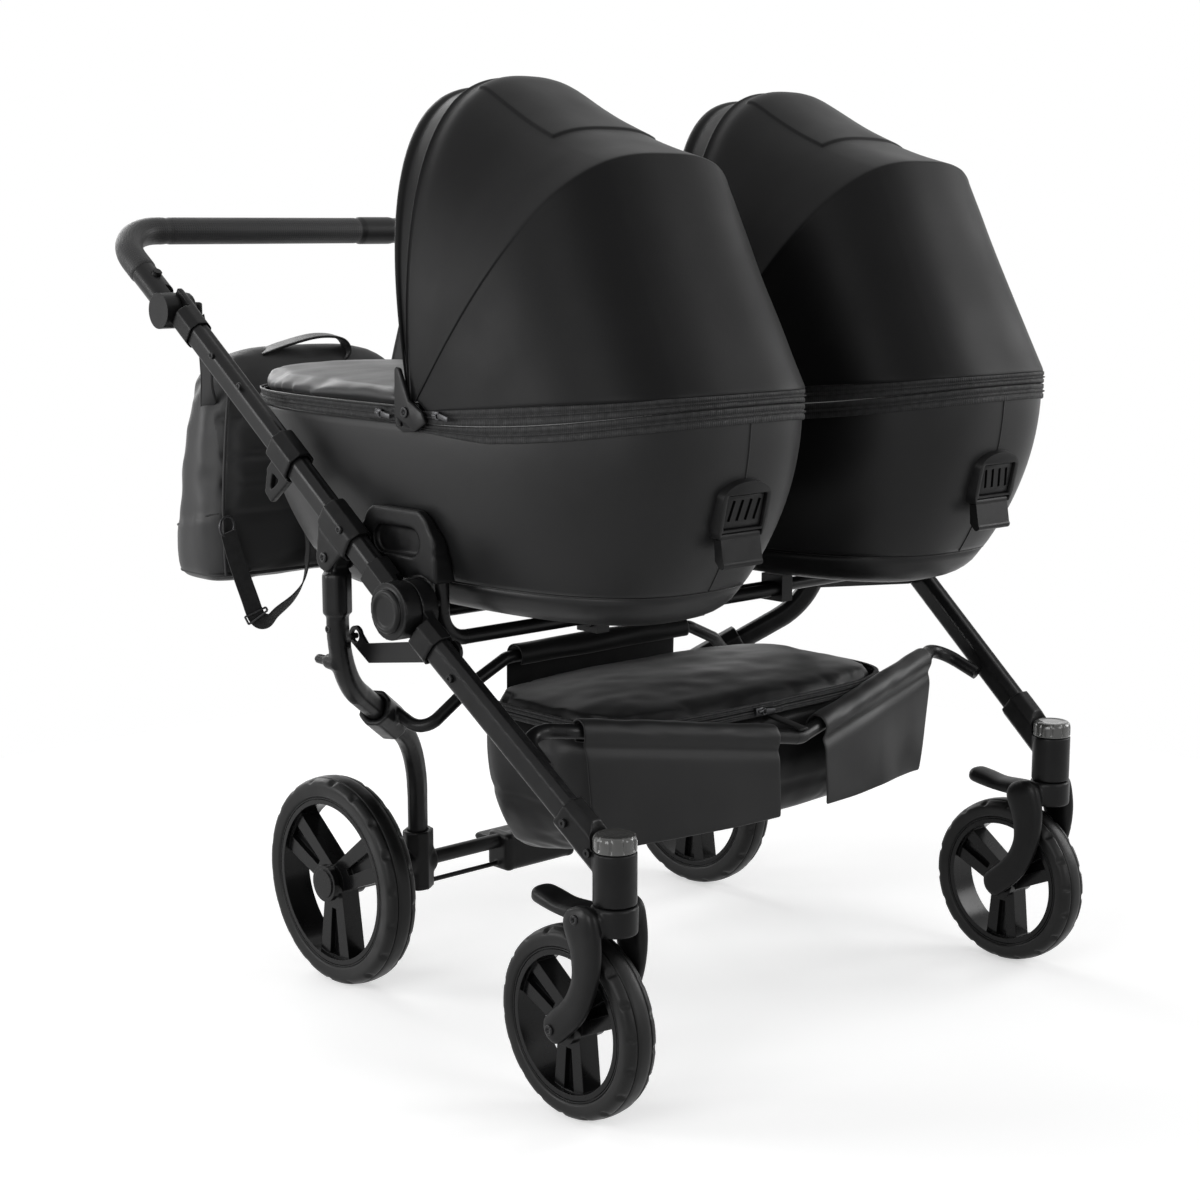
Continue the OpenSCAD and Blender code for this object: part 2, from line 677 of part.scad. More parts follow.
// Fold links: cranked flat bars from the legs to the lower tubes
link_t = 4;
module fold_links() {
    color(paint) both() translate([link_plane - 3, 0, 0]) rotate([90, 0, 90])
    linear_extrude(link_t) difference() {
        union() {
            translate([link_rear[1], link_rear[2]]) circle(11);
            translate([link_front[1], link_front[2]]) circle(11);
            polygon([[link_rear[1] + 6, link_rear[2] - 9], [link_rear[1] - 24, link_rear[2] - 27],
                     [link_front[1] - 2, link_front[2] - 11], [link_front[1] + 2, link_front[2] + 11],
                     [link_rear[1] - 20, link_rear[2] - 6], [link_rear[1] - 3, link_rear[2] + 10]]);
        }
        translate([link_rear[1], link_rear[2]]) circle(4 + 6 * clear);
        translate([link_front[1], link_front[2]]) circle(4 + run_fit);
    }
}

// Rear axle, its brackets, the brake rod and the pedal
axle_tube_r = 9;
bracket_half = 19;
module axle_brackets() {
    color(plastic) both() difference() {
        union() {
            translate([leg_foot[0], leg_foot[1], leg_foot[2] - 34]) rotate(leg_turn)
                linear_extrude(74) section(leg_h + 12, leg_w + 12);
            translate([leg_foot[0] - bracket_half, leg_foot[1], leg_foot[2]]) rotate([0, 90, 0])
                cylinder(h = rear_track/2 - rear_hub_w/2 - clear - leg_foot[0] + bracket_half, r = 17);
        }
        translate([leg_foot[0], leg_foot[1], leg_foot[2] - 4 - seat]) rotate(leg_turn)
            linear_extrude(80) section(leg_h + 2*seat, leg_w + 2*seat);
        rod([0, axle_y, leg_foot[2]], [400, axle_y, leg_foot[2]], axle_tube_r + seat);
        rod([0, axle_y, rod_z], [leg_foot[0], axle_y, rod_z], rod_r + seat);
    }
}
module rear_axle() {
    end_x = rear_track/2 - rear_hub_w/2 - clear - 1;
    color(paint) both() difference() {
        union() {
            rod([0, axle_y, leg_foot[2]], [end_x, axle_y, leg_foot[2]], axle_tube_r);
            rod([end_x - 1, axle_y, leg_foot[2]],
                [rear_track/2 + rear_hub_w/2 - 4, axle_y, leg_foot[2]], rear_axle_d/2);
        }
        translate([leg_foot[0], leg_foot[1], leg_foot[2] - 5]) rotate(leg_turn)
            linear_extrude(80) section(leg_h + 2*seat, leg_w + 2*seat);
    }
}
rod_z = rear_wheel_d/2 - 29;
rod_r = 3;
module brake_rod() {
    color(paint) {
        rod([-leg_foot[0] + 4, axle_y, rod_z], [leg_foot[0] - 4, axle_y, rod_z], rod_r);
        difference() {
            translate([-58, axle_y - 21, rod_z - 9]) cube([116, 42, 60]);
            rod([-60, axle_y, leg_foot[2]], [60, axle_y, leg_foot[2]], axle_tube_r + seat);
            translate([-40, axle_y + 4, rod_z - 10]) cube([80, 20, 62]);
            translate([-70, axle_y - 30, rod_z + 40]) cube([140, 60, 30]);
        }
        rod([-45, axle_y + 13, pedal_z], [45, axle_y + 13, pedal_z], 3);
    }
}
pedal_z = rear_wheel_d/2 - 14;
module brake_pedal() {
    color(plastic) translate([-38, axle_y + 13, pedal_z]) rotate([90, 0, 90]) difference() {
        linear_extrude(76) union() {
            circle(7.5);
            polygon([[0, 7.5], [0, -7.5], [52, -4], [58, 2], [52, 8]]);
            translate([52, 2]) circle(6);
        }
        translate([0, 0, -1]) cylinder(h = 78, r = 3 + run_fit);
    }
}

// Cot cradle: two cross tubes with uprights, side adaptors and the centre adaptor
cradle_r = 8;
cradle_x = side_x - 38;
cradle_front_y = axle_y - 269.5;
cradle_rear_y = axle_y - 161.5;
cradle_front_z = 460;
cradle_rear_z = 468;
adaptor_top = 598;
adaptor_low = 522;
upright_top = adaptor_low + 14;
adaptor_y = (cradle_front_y + cradle_rear_y) / 2;
module cot_cradle() {
    color(paint) {
        cradle_tube(cradle_front_y, cradle_front_z);
        cradle_tube(cradle_rear_y, cradle_rear_z);
        both() rod([cradle_x, cradle_front_y, knuckle_z + 4],
            [side_x - knuckle_half - seat, cradle_front_y, knuckle_z + 4], 5);
    }
}
module cradle_tube(y, z) {
    bent_rod([[cradle_x, y, upright_top], [cradle_x, y, z], [-cradle_x, y, z], [-cradle_x, y, upright_top]],
        cradle_r, 30);
}
adaptor_in = side_x - 52;
adaptor_out = side_x - 18.6;
adaptor_half = (cradle_rear_y - cradle_front_y) / 2;
module side_adaptors() {
    color(plastic) both() difference() {
        translate([adaptor_in, 0, 0]) rotate([90, 0, 90])
            linear_extrude(adaptor_out - adaptor_in) adaptor_outline();
        translate([adaptor_out - 8, 0, 0]) rotate([90, 0, 90]) linear_extrude(12) union() {
            translate([adaptor_y - 24, adaptor_low + 26]) square([48, 30]);
            for (s = [-1, 1]) translate([adaptor_y + 24*s, adaptor_low + 41]) circle(15);
        }
        for (y = [cradle_front_y, cradle_rear_y]) translate([cradle_x, y, adaptor_low - 1])
            cylinder(h = upright_top - adaptor_low + 1 + seat, r = cradle_r + seat);
        translate([adaptor_in - 1, adaptor_y - plug_half - clear, pocket_z])
            cube([pocket_x - adaptor_in + 1, 2*plug_half + 2*clear, 100]);
        translate([side_x - 48, adaptor_y - 250, adaptor_low]) rotate([0, wall_lean, 0])
            translate([-60, 0, -40]) cube([60, 500, 180]);
        translate([side_x - knuckle_half - 2, knuckle[1], knuckle[2]]) rotate([0, 90, 0])
            cylinder(h = 30, r = knuckle_r + 2);
    }
}
wall_lean = 14.6;
pocket_z = adaptor_low + 22;
pocket_x = side_x - 36;
module adaptor_outline() {
    union() {
        translate([adaptor_y - adaptor_half - 13, adaptor_low]) square([2*adaptor_half + 26, 28]);
        translate([adaptor_y - adaptor_half + 14, adaptor_low + 26])
            square([2*adaptor_half - 28, adaptor_top - adaptor_low - 26]);
        for (s = [-1, 1]) translate([adaptor_y + s*(adaptor_half - 14), adaptor_low + 38]) circle(26);
        for (s = [-1, 1]) translate([adaptor_y + s*(adaptor_half - 22), adaptor_top - 26]) circle(26);
    }
}
plug_half = 24;
centre_half = 163;
centre_y = cradle_front_y - cradle_r - 9;
centre_z = cradle_front_z + 17;
inner_pocket_x = 8;
module centre_adaptor() {
    color(paint) {
        difference() {
            rod([-centre_half, centre_y, cradle_front_z], [centre_half, centre_y, cradle_front_z], 8);
            rod([-cradle_x, cradle_front_y, cradle_front_z], [cradle_x, cradle_front_y, cradle_front_z],
                cradle_r + seat);
        }
        for (x = [-150, 0, 150]) translate([x - 9, centre_y - 12, cradle_front_z - 14]) difference() {
            cube([18, 34, 32]);
            translate([-1, cradle_front_y - centre_y + 12, 14]) rotate([0, 90, 0])
                cylinder(h = 20, r = cradle_r + seat);
        }
    }
    color(plastic) translate([-20, centre_y - 12, centre_z]) difference() {
        cube([40, 90, 70]);
        for (s = [-1, 1]) translate([20 + s*20, 45, 60])
            cube([2*(20 - inner_pocket_x), 2*plug_half + 2*clear, 70], center = true);
    }
}

// Front basket bar: a shallow V that loops back to both lower tubes
bar_r = bar_d / 2;
front_bar_z = 350;
front_bar_end = mix(knuckle, head_point, (knuckle_z - front_bar_z) / (knuckle_z - head_tube_z))
    + [0.6125 - tube_w/2 - bar_r, 9.25893, 0];
front_bar_path = [front_bar_end, front_bar_end + [-11.8, 62, 28], front_bar_end + [-59.8, 31.5, 24],
    [0, front_bar_end[1] - 26, front_bar_end[2] - 19]];
front_bar = concat(front_bar_path,
    [for (i = [2 : -1 : 0]) let (q = front_bar_path[i]) [-q[0], q[1], q[2]]]);
module front_basket_bar() {
    color(paint) bent_rod(front_bar, bar_r, 26);
}

// Rear basket bar: carried by clamps on the legs, raised in the middle
rear_bar_y = axle_y - 131;
rear_bar_z = 393;
clamp_at = mix(leg_path[1], leg_path[2], 0.55);
clamp_wall = 7;
rear_bar_path = [clamp_at + [-9, -13, 4], [262, rear_bar_y + 16, 318], [196, rear_bar_y, 372],
    [150, rear_bar_y, rear_bar_z], [-150, rear_bar_y, rear_bar_z], [-196, rear_bar_y, 372],
    [-262, rear_bar_y + 16, 318], [-clamp_at[0] + 9, clamp_at[1] - 13, clamp_at[2] + 4]];
module basket_rear_bar() {
    color(paint) difference() {
        union() {
            bent_rod(rear_bar_path, bar_r, 24);
            both() beam(mix(leg_path[1], leg_path[2], 0.43), mix(leg_path[1], leg_path[2], 0.67),
                leg_h + 2*clamp_wall, leg_w + 2*clamp_wall);
        }
        both() beam(leg_path[1], leg_path[2], leg_h + 2*seat, leg_w + 2*seat);
    }
}

// Round plan outline with flattened sides
function outline(a, b, n, m, z) = [for (i = [0 : m - 1]) let (t = 360 * i / m)
    [b * spow(cos(t), 2/n), a * spow(sin(t), 2/n), z]];

// Carrycot shell: a padded tub with a rising rim, hollow inside, with side plugs for the adaptors
cot_pts = 40;
cot_half_l = cot_len / 2;
cot_half_w = cot_w / 2;
cot_floor = 14;
function rim_lift(y) = rim_rise * pow(max(0, (-y - hinge_ahead) / (cot_half_l - hinge_ahead)), 2);
function cot_level(t, inset) = let (k = pow(1 - t, 2.1))
    [for (q = outline(cot_half_l - 86*k - inset, cot_half_w - 46*k - inset, 3.2 - 0.5*k, cot_pts, 0))
        [q[0], q[1], cot_low_z + (rim_z + rim_lift(q[1]) - cot_low_z) * t]];
cot_outer = concat([[for (q = cot_level(0.03, 30)) [q[0], q[1], cot_low_z]]],
    [for (t = [0.035, 0.1, 0.22, 0.4, 0.6, 0.8, 1]) cot_level(t, t < 0.05 ? 12 : 0)]);
cot_inner = concat([for (t = [1, 0.7, 0.4, 0.2]) cot_level(t, cot_wall)],
    [[for (q = cot_level(0.1, cot_wall + 16)) [q[0], q[1], cot_low_z + cot_floor]]]);
module cot_shell() {
    color(leather) translate([cot_x, cot_y, 0]) skin(concat(cot_outer, cot_inner));
    color(plastic) {
        translate([cot_x + cot_half_w - 34, adaptor_y - plug_half, pocket_z + clear])
            cube([pocket_x - clear - cot_x - cot_half_w + 34, 2*plug_half, 24]);
        translate([inner_pocket_x + clear, centre_y + 33 - plug_half, centre_z + 25 + clear])
            cube([cot_x - cot_half_w + 40 - inner_pocket_x, 2*plug_half, 26]);
        translate([cot_x, latch_y, latch_z]) latch_housing();
        translate([cot_x, hinge_y, hinge_z + 10]) hinge_lugs();
    }
}
module cot_shell_right() { right() cot_shell(); }
module cot_shell_left() { cot_shell(); }

// Latch on the head end: slotted housing with a hinged paddle under it
latch_y = cot_y - cot_half_l + 26;
latch_z = 606;
latch_lean = 12;
paddle_pin_r = 3;
module latch_housing() {
    rotate([latch_lean, 0, 0]) {
        difference() {
            union() {
                translate([-37, -18, -20]) cube([74, 26, 44]);
                translate([0, 8, 24]) rotate([90, 0, 0]) intersection() {
                    cylinder(h = 26, r = 37);
                    translate([-40, -1, -1]) cube([80, 17, 40]);
                }
            }
            translate([-30, -22, -14]) cube([60, 10, 44]);
            for (x = [-18, -6, 6, 18]) translate([x, -9, 10]) rotate([0, 15, 0])
                cube([4, 14, 26], center = true);
            translate([-paddle_half - clear, -30, -30]) cube([2*paddle_half + 2*clear, 24, 20]);
        }
        translate([-paddle_half - 2, -12, -16.5]) rotate([0, 90, 0])
            cylinder(h = 2*paddle_half + 4, r = paddle_pin_r);
    }
}
paddle_half = 28;
module cot_latch() {
    color(plastic) translate([cot_x, latch_y, latch_z]) rotate([latch_lean, 0, 0])
        translate([-paddle_half, -12, -16.5]) rotate([90, 0, 90]) difference() {
            linear_extrude(2*paddle_half) union() {
                circle(5.5);
                polygon([[-15, -26], [-10, -30], [-2, -24], [4.2, -2.2], [-4.6, 0.4]]);
                translate([-11.5, -26]) circle(4);
            }
            translate([0, 0, -1]) cylinder(h = 2*paddle_half + 2, r = paddle_pin_r + run_fit);
        }
}
module cot_latch_right() { right() cot_latch(); }
module cot_latch_left() { cot_latch(); }

// Mattress, crowned in the middle and drawn in at its edge
module cot_mattress() {
    z0 = cot_low_z + cot_floor + clear;
    half_l = cot_half_l - 72 - cot_wall;
    half_w = cot_half_w - 38 - cot_wall;
    color(leather) translate([cot_x, cot_y, z0])
        skin([for (s = [[26, 0], [20, 8], [18, 16], [24, 25], [60, 31], [110, mattress_h]])
            outline(half_l - s[0], half_w - min(s[0], 90), 2.9, cot_pts, s[1])]);
}
module cot_mattress_right() { right() cot_mattress(); }
module cot_mattress_left() { cot_mattress(); }

// Foot cover: crowned pad that closes the cot from the foot end to under the hood
apron_front = 5;
function apron_loop(inset, z) =
    [for (q = outline(cot_half_l + 2 - inset, cot_half_w + 1 - inset, 3.2, cot_pts, 0))
        let (bulge = z > 6 ? apron_crown * 0.18 * cos(90 * q[0] / cot_half_w) : 0)
        [q[0], max(q[1], inset * 0.6 - apron_front), rim_z + z + bulge]];
module cot_apron() {
    color(leather) translate([cot_x, cot_y, 0])
        skin([for (s = [[0, 0.6], [-1, 8], [3, 17], [16, 24], [50, 29], [120, apron_crown]])
            apron_loop(s[0], s[1])]);
}
module cot_apron_right() { right() cot_apron(); }
module cot_apron_left() { cot_apron(); }

// Hood: arches fanned about the hinge line from the rim to the front bow
hood_arcs = 6;
hood_pts = 21;
hood_base_x = cot_half_w + 1.5;
bow_angle = 90 + bow_lean;
function chord(fa, ra, fb, rb, f) = ra * rb * sin(fb - fa) / (ra * sin(f - fa) + rb * sin(fb - f));
function hood_r(f) = f >= 90 ? hood_h
    : f > hoop_angle ? chord(hoop_angle, hoop_reach, 90, hood_h, f)
        - hood_sag * sin(180 * (f - hoop_angle) / (90 - hoop_angle))
    : chord(0, hood_reach, hoop_angle, hoop_reach, f) - 2 * sin(180 * f / hoop_angle);
function hood_arch(f, inset) = [for (i = [0 : hood_pts - 1])
    let (t = mix(1, 179, i / (hood_pts - 1)), n = mix(3.5, 2.5, f / 90),
        x = spow(cos(t), 2/n), h = pow(sin(t), 2/n))
    [(hood_base_x - inset) * x, -(hood_r(f) - inset) * h * cos(f), (hood_r(f) - inset) * h * sin(f)]];
function hood_loop(f, t, grow = 0) = let (inner = hood_arch(f, t))
    concat(hood_arch(f, -grow), [for (i = [hood_pts - 1 : -1 : 0]) inner[i]]);
bow_from = bow_angle - 8.5;
hood_start = 5;
hood_angles = concat([for (i = [0 : hood_arcs]) mix(hood_start, hoop_angle, i / hood_arcs)],
    [for (i = [1 : hood_arcs]) mix(hoop_angle, bow_from - 0.4, i / hood_arcs)]);
module hood_fabric() {
    color(leather) translate([cot_x, hinge_y, hinge_z + 10])
        skin([for (i = [2*hood_arcs : -1 : 0]) hood_loop(hood_angles[i], hood_t)], true);
}
module hood_fabric_right() { right() hood_fabric(); }
module hood_fabric_left() { hood_fabric(); }

// Front bow: a stiff band round the hood mouth with its two hinge plates
plate_t = 5;
bow_grow = 2.5;
hinge_pin_r = 4;
plate_x = hood_base_x + clear;
module hood_bow() {
    color(plastic) translate([cot_x, hinge_y, hinge_z + 10]) difference() {
        union() {
            skin([for (f = [bow_angle, bow_from]) hood_loop(f, hood_t, bow_grow)], true);
            for (s = [-1, 1]) translate([s > 0 ? plate_x : -plate_x - plate_t, 0, 0]) rotate([90, 0, 90])
                linear_extrude(plate_t) union() {
                    circle(19);
                    polygon([[-19, 0], [19, 0], [15, 34], [2, 40], [-10, 30]]);
                }
        }
        translate([-cot_w, 0, 0]) rotate([0, 90, 0]) cylinder(h = 2*cot_w, r = hinge_pin_r + run_fit);
    }
}
module hinge_lugs() {
    for (s = [0, 1]) mirror([s, 0, 0]) {
        translate([cot_half_w - 14, 0, 0]) rotate([0, 90, 0]) cylinder(h = 13.5, r = 10);
        translate([cot_half_w - 13.9, -9, -34]) cube([13, 18, 30]);
        translate([cot_half_w - 3, 0, 0]) rotate([0, 90, 0])
            cylinder(h = plate_x + plate_t + 1 - cot_half_w + 3, r = hinge_pin_r);
    }
}
module hood_bow_right() { right() hood_bow(); }
module hood_bow_left() { hood_bow(); }

// Basket: a soft tub under the cots with a zipped, bulging lid
basket_y = axle_y - 282.5;
basket_pts = 40;
basket_top_z = 352;
basket_slope = 56;
function basket_level(t, inset) = let (k = pow(1 - t, 2))
    [for (q = outline(135 - 26*k - inset, basket_half_w - 34*k - inset, 4, basket_pts, 0))
        [q[0], q[1], mix(basket_low_z + basket_slope * (0.5 - q[1] / 270), basket_top_z, t)]];
module basket_body() {
    color(leather) {
        translate([0, basket_y, 0]) skin(concat(
            [for (t = [0, 0.06, 0.3, 0.6, 1]) basket_level(t, t == 0 ? 16 : 0)],
            [for (t = [1, 0.6, 0.3, 0.1]) basket_level(t, t < 0.2 ? 14 : 6)]));
        translate([-6, front_bar_path[3][1] + 10, front_bar_path[3][2] - 6])
            cube([12, basket_y - 140 - front_bar_path[3][1], 12]);
    }
}
module basket_lid() {
    color(leather) translate([0, basket_y, basket_top_z + clear])
        skin([for (s = [[2, 0], [0, 4], [4, 10], [30, 18], [70, 23], [110, 25]])
            outline(135 - s[0], basket_half_w - s[0], 4, basket_pts, s[1])]);
}

// Hanging flaps folded over the front basket bar, with their soft folds
flap_pts = 9;
flap_t = 3;
module basket_flaps() {
    a = mix(front_bar_path[3], front_bar_path[2], 0.12);
    b = mix(front_bar_path[3], front_bar_path[2], 0.97);
    out = unit(cross(b - a, [0, 0, 1]));
    wrap = bar_r + clear + flap_t;
    color(leather) both() {
        skin([for (i = [0 : flap_pts - 1])
            let (k = i / (flap_pts - 1), p = mix(a, b, k), drop = mix(84, 132, k), sway = 5 * sin(240 * k))
            [for (q = [[0.4, -3], [0.4, -20], [sway, -drop],
                       [flap_t + sway, -drop], [flap_t, -20], [flap_t, -3]])
                p + (wrap - q[0]) * out + [0, 0, q[1]]]], true);
        span(a, b) difference() {
            cylinder(h = norm(b - a), r = wrap);
            translate([0, 0, -1]) cylinder(h = norm(b - a) + 2, r = bar_r + clear);
        }
    }
}

// Sleeve of the basket round the rear bar, with the strip that hangs from it
module basket_sleeve() {
    r = bar_r + clear + flap_t;
    color(leather) difference() {
        union() {
            rod([-138, rear_bar_y, rear_bar_z], [138, rear_bar_y, rear_bar_z], r);
            translate([-138, rear_bar_y + r - 5, rear_bar_z - 62]) cube([276, 5, 62]);
        }
        rod([-140, rear_bar_y, rear_bar_z], [140, rear_bar_y, rear_bar_z], bar_r + clear);
    }
}

// Screw heads along the lower tubes and sockets
module frame_screws() {
    color(paint) both() for (s = [100, low_len - 64.1785, low_len - 24.1785]) {
        p = knuckle + s * low_dir + (tube_w/2 + 0.7 + (s > 100 ? socket_wall : 0)) * X;
        span(p, p + X) difference() {
            cylinder(h = 2.4, r = 4.5);
            translate([0, 0, 1.2]) cylinder(h = 3, r = 2, $fn = 6);
        }
    }
}

// Hanging bag: tapered pouch with a domed top, hung by a strap at each side
bag_y = axle_y + 342 - bag_d / 2;
bag_low_z = 455;
module bag_body() {
    hook = [-side_x + joint_half + 15, handle_pivot[1], handle_pivot[2]];
    corner = [bag_x - bag_w * 0.43 + 1, bag_y - 12, bag_low_z + 226];
    color(leather) {
        translate([bag_x, bag_y, bag_low_z]) skin([for (s = bag_levels)
            outline(bag_d/2 * s[2], bag_w/2 * s[1], 5, 32, s[0] * bag_h)]);
        strap(corner, hook);
        rod(hook - (15 - seat) * X, hook + 6 * X, 7);
    }
}
// Height, width and depth of the bag's levels as shares of the whole
bag_levels = [[0, 0.92, 0.86], [0.03, 0.99, 0.98], [0.32, 1, 1], [0.63, 0.94, 0.93], [0.84, 0.86, 0.8],
    [0.95, 0.7, 0.55], [1, 0.4, 0.3]];
strap_w = 26;
strap_t = 3;
module strap(a, b) {
    span(a, b) translate([-strap_t/2, -strap_w/2, 0]) cube([strap_t, strap_w, norm(b - a)]);
}
module bag_far_strap() {
    low = [bag_x + bag_w * 0.45 + 8, bag_y, bag_low_z + bag_h * 0.8];
    ring = [52, bar_mid[1] - 14, 806];
    color(leather) {
        strap(low, ring);
        strap(ring - [0, 0, 4], [64, bar_mid[1], bar_mid[2] - grip_d/2 - 3]);
        translate([52, bar_mid[1], bar_mid[2]]) rotate([0, 90, 0]) difference() {
            cylinder(h = 24, r = grip_d/2 + clear + strap_t);
            translate([0, 0, -1]) cylinder(h = 26, r = grip_d/2 + clear);
        }
    }
}

lower_tube_right();
lower_tube_left();
lower_knuckles();
steering_head_right();
steering_head_left();
head_caps();
front_basket_bar();
cot_cradle();
side_adaptors();
centre_adaptor();
basket_body();
basket_lid();
basket_flaps();
frame_screws();
upper_tube_right();
upper_tube_left();
upper_knuckles();
leg_brackets();
handle_joints();
bag_body();
bag_far_strap();
handle_bar();
handle_grip();
handle_button_right();
handle_button_left();
fold_slider_right();
fold_slider_left();
rear_leg_right();
rear_leg_left();
axle_brackets();
rear_axle();
basket_rear_bar();
basket_sleeve();
brake_rod();
brake_pedal();
fold_links();
rear_tyre_right();
rear_rim_right();
rear_tyre_left();
rear_rim_left();
front_tyre_right();
front_rim_right();
front_tyre_left();
front_rim_left();
fork_right();
fork_left();
lock_lever_right();
lock_lever_left();
cot_shell_right();
cot_apron_right();
cot_mattress_right();
cot_latch_right();
hood_fabric_right();
hood_bow_right();
cot_shell_left();
cot_apron_left();
cot_mattress_left();
cot_latch_left();
hood_fabric_left();
hood_bow_left();
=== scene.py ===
import json
from math import cos, sin, tan, pi, radians, exp, sqrt
import bpy
from mathutils import Vector, Matrix, noise


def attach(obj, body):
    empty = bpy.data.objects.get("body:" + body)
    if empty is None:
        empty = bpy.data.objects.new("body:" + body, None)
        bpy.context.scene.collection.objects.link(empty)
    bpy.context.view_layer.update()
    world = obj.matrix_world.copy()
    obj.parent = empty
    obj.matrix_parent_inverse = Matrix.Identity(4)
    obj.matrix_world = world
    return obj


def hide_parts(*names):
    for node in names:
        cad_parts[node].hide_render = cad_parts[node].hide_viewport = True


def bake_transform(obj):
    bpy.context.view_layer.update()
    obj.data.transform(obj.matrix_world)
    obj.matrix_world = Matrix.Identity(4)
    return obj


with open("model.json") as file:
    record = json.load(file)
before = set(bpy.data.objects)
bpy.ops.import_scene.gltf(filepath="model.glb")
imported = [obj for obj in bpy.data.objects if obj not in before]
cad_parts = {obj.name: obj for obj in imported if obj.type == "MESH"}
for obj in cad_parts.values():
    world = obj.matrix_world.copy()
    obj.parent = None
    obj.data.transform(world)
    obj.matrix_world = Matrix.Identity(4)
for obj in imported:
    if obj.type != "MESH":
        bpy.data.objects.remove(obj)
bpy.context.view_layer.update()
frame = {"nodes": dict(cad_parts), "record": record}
nodes = frame["nodes"]
bpy.ops.object.select_all(action="DESELECT")

# The studio: a pale paper floor under large soft lamps. The camera stands off the
# pram's front right-hand corner, a little above the hood hinges.
bpy.context.scene.view_settings.view_transform = "Standard"
bpy.ops.object.camera_add(location=(-1.7376, -1.9006, 0.8907),
                          rotation=(radians(80.127), 0, radians(-42.556)))
camera = bpy.context.object
camera.data.lens = 64.52
camera.data.sensor_width = 36
bpy.context.scene.camera = camera


def tune(made, **values):
    """Sets a shader node's inputs. An underscore in a name stands for a space."""
    for key, value in values.items():
        made.inputs[key.replace("_", " ")].default_value = value
    return made


def shader_node(tree, kind, **values):
    return tune(tree.nodes.new("ShaderNode" + kind), **values)


def wire(tree, *links):
    """Joins outputs to inputs, pair by pair."""
    for start, end in links:
        tree.links.new(start, end)


def backdrop_share(tree, strength):
    """The strength for what is seen straight, mirrored or through a clear piece, else nothing."""
    path = shader_node(tree, "LightPath")
    total = path.outputs["Is Camera Ray"]
    for kind in ("Is Glossy Ray", "Is Transmission Ray"):
        add = shader_node(tree, "Math")
        add.use_clamp = True
        wire(tree, (total, add.inputs[0]), (path.outputs[kind], add.inputs[1]))
        total = add.outputs[0]
    scale = shader_node(tree, "Math")
    scale.operation = "MULTIPLY"
    scale.inputs[1].default_value = strength
    wire(tree, (total, scale.inputs[0]))
    return scale.outputs[0]


bpy.ops.mesh.primitive_plane_add(size=2.8)
floor = bpy.context.object
floor.name = "floor"
paper = bpy.data.materials.new("floor_paper")
paper.use_nodes = True
shade = tune(paper.node_tree.nodes["Principled BSDF"], Base_Color=(0.75, 0.75, 0.75, 1),
             Emission_Color=(1, 1, 1, 1), Roughness=0.9, Specular_IOR_Level=0.1)
wire(paper.node_tree, (backdrop_share(paper.node_tree, 0.47), shade.inputs["Emission Strength"]))
floor.data.materials.append(paper)
world = bpy.data.worlds.new("studio")
bpy.context.scene.world = world
world.use_nodes = True
sky = tune(world.node_tree.nodes["Background"], Color=(1, 1, 1, 1))
fill = shader_node(world.node_tree, "Math")
fill.operation = "MAXIMUM"
fill.inputs[1].default_value = 0.2
wire(world.node_tree, (backdrop_share(world.node_tree, 1.0), fill.inputs[0]), (fill.outputs[0], sky.inputs["Strength"]))
for name, place, aim, size, power in (
        ("lamp_side", (-3.4, -1.0, 1.5), (0, -0.1, 0.7), 1.9, 54),
        ("lamp_front", (0.6, -3.6, 1.7), (0, -0.1, 0.6), 1.6, 34),
        ("lamp_far", (3.2, -1.6, 1.6), (0, -0.1, 0.6), 1.6, 52),
        ("lamp_left", (-2.7, 1.7, 1.1), (-0.3, 0.2, 0.6), 1.3, 44),
        ("lamp_back", (0.4, 3.6, 2.2), (0, 0, 0.6), 2.2, 60),
        ("lamp_top", (-0.4, -0.2, 4.0), (0, 0, 0.6), 2.6, 8)):
    bpy.ops.object.light_add(type="AREA", location=place)
    lamp = bpy.context.object
    lamp.name = name
    lamp.data.size = size
    lamp.data.energy = power
    lamp.rotation_euler = (Vector(aim) - Vector(place)).to_track_quat("-Z", "Y").to_euler()


# Cradle, front bar, rear axle, links, centre adaptor and handle bar: steel rods and aluminium
# tubes, powder coated satin black. Sockets and pins hold them on the side frames.
def new_finish(name, colour, rough, **values):
    """A plain finish. Colours are two numbers: one for red and green alike, and one for blue."""
    material = bpy.data.materials.new(name)
    material.use_nodes = True
    shader = material.node_tree.nodes["Principled BSDF"]
    tune(shader, Base_Color=(colour[0], *colour, 1), Roughness=rough, Specular_IOR_Level=0.2)
    return material, material.node_tree, tune(shader, **values)


def spread(tree, shader, socket, low, high, scale):
    """A cloudy change of one socket over the surface, between two numbers or two colours."""
    where = shader_node(tree, "TexCoord")
    cloud = shader_node(tree, "TexNoise", Scale=scale, Detail=4.0)
    ramp = shader_node(tree, "ValToRGB")
    for element, position, value in zip(ramp.color_ramp.elements, (0.32, 0.68), (low, high)):
        element.position = position
        element.color = (value[0], *value, 1) if hasattr(value, "__len__") else (value, value, value, 1)
    wire(tree, (where.outputs["Object"], cloud.inputs["Vector"]), (cloud.outputs["Fac"], ramp.inputs["Fac"]),
         (ramp.outputs["Color"], shader.inputs[socket]))


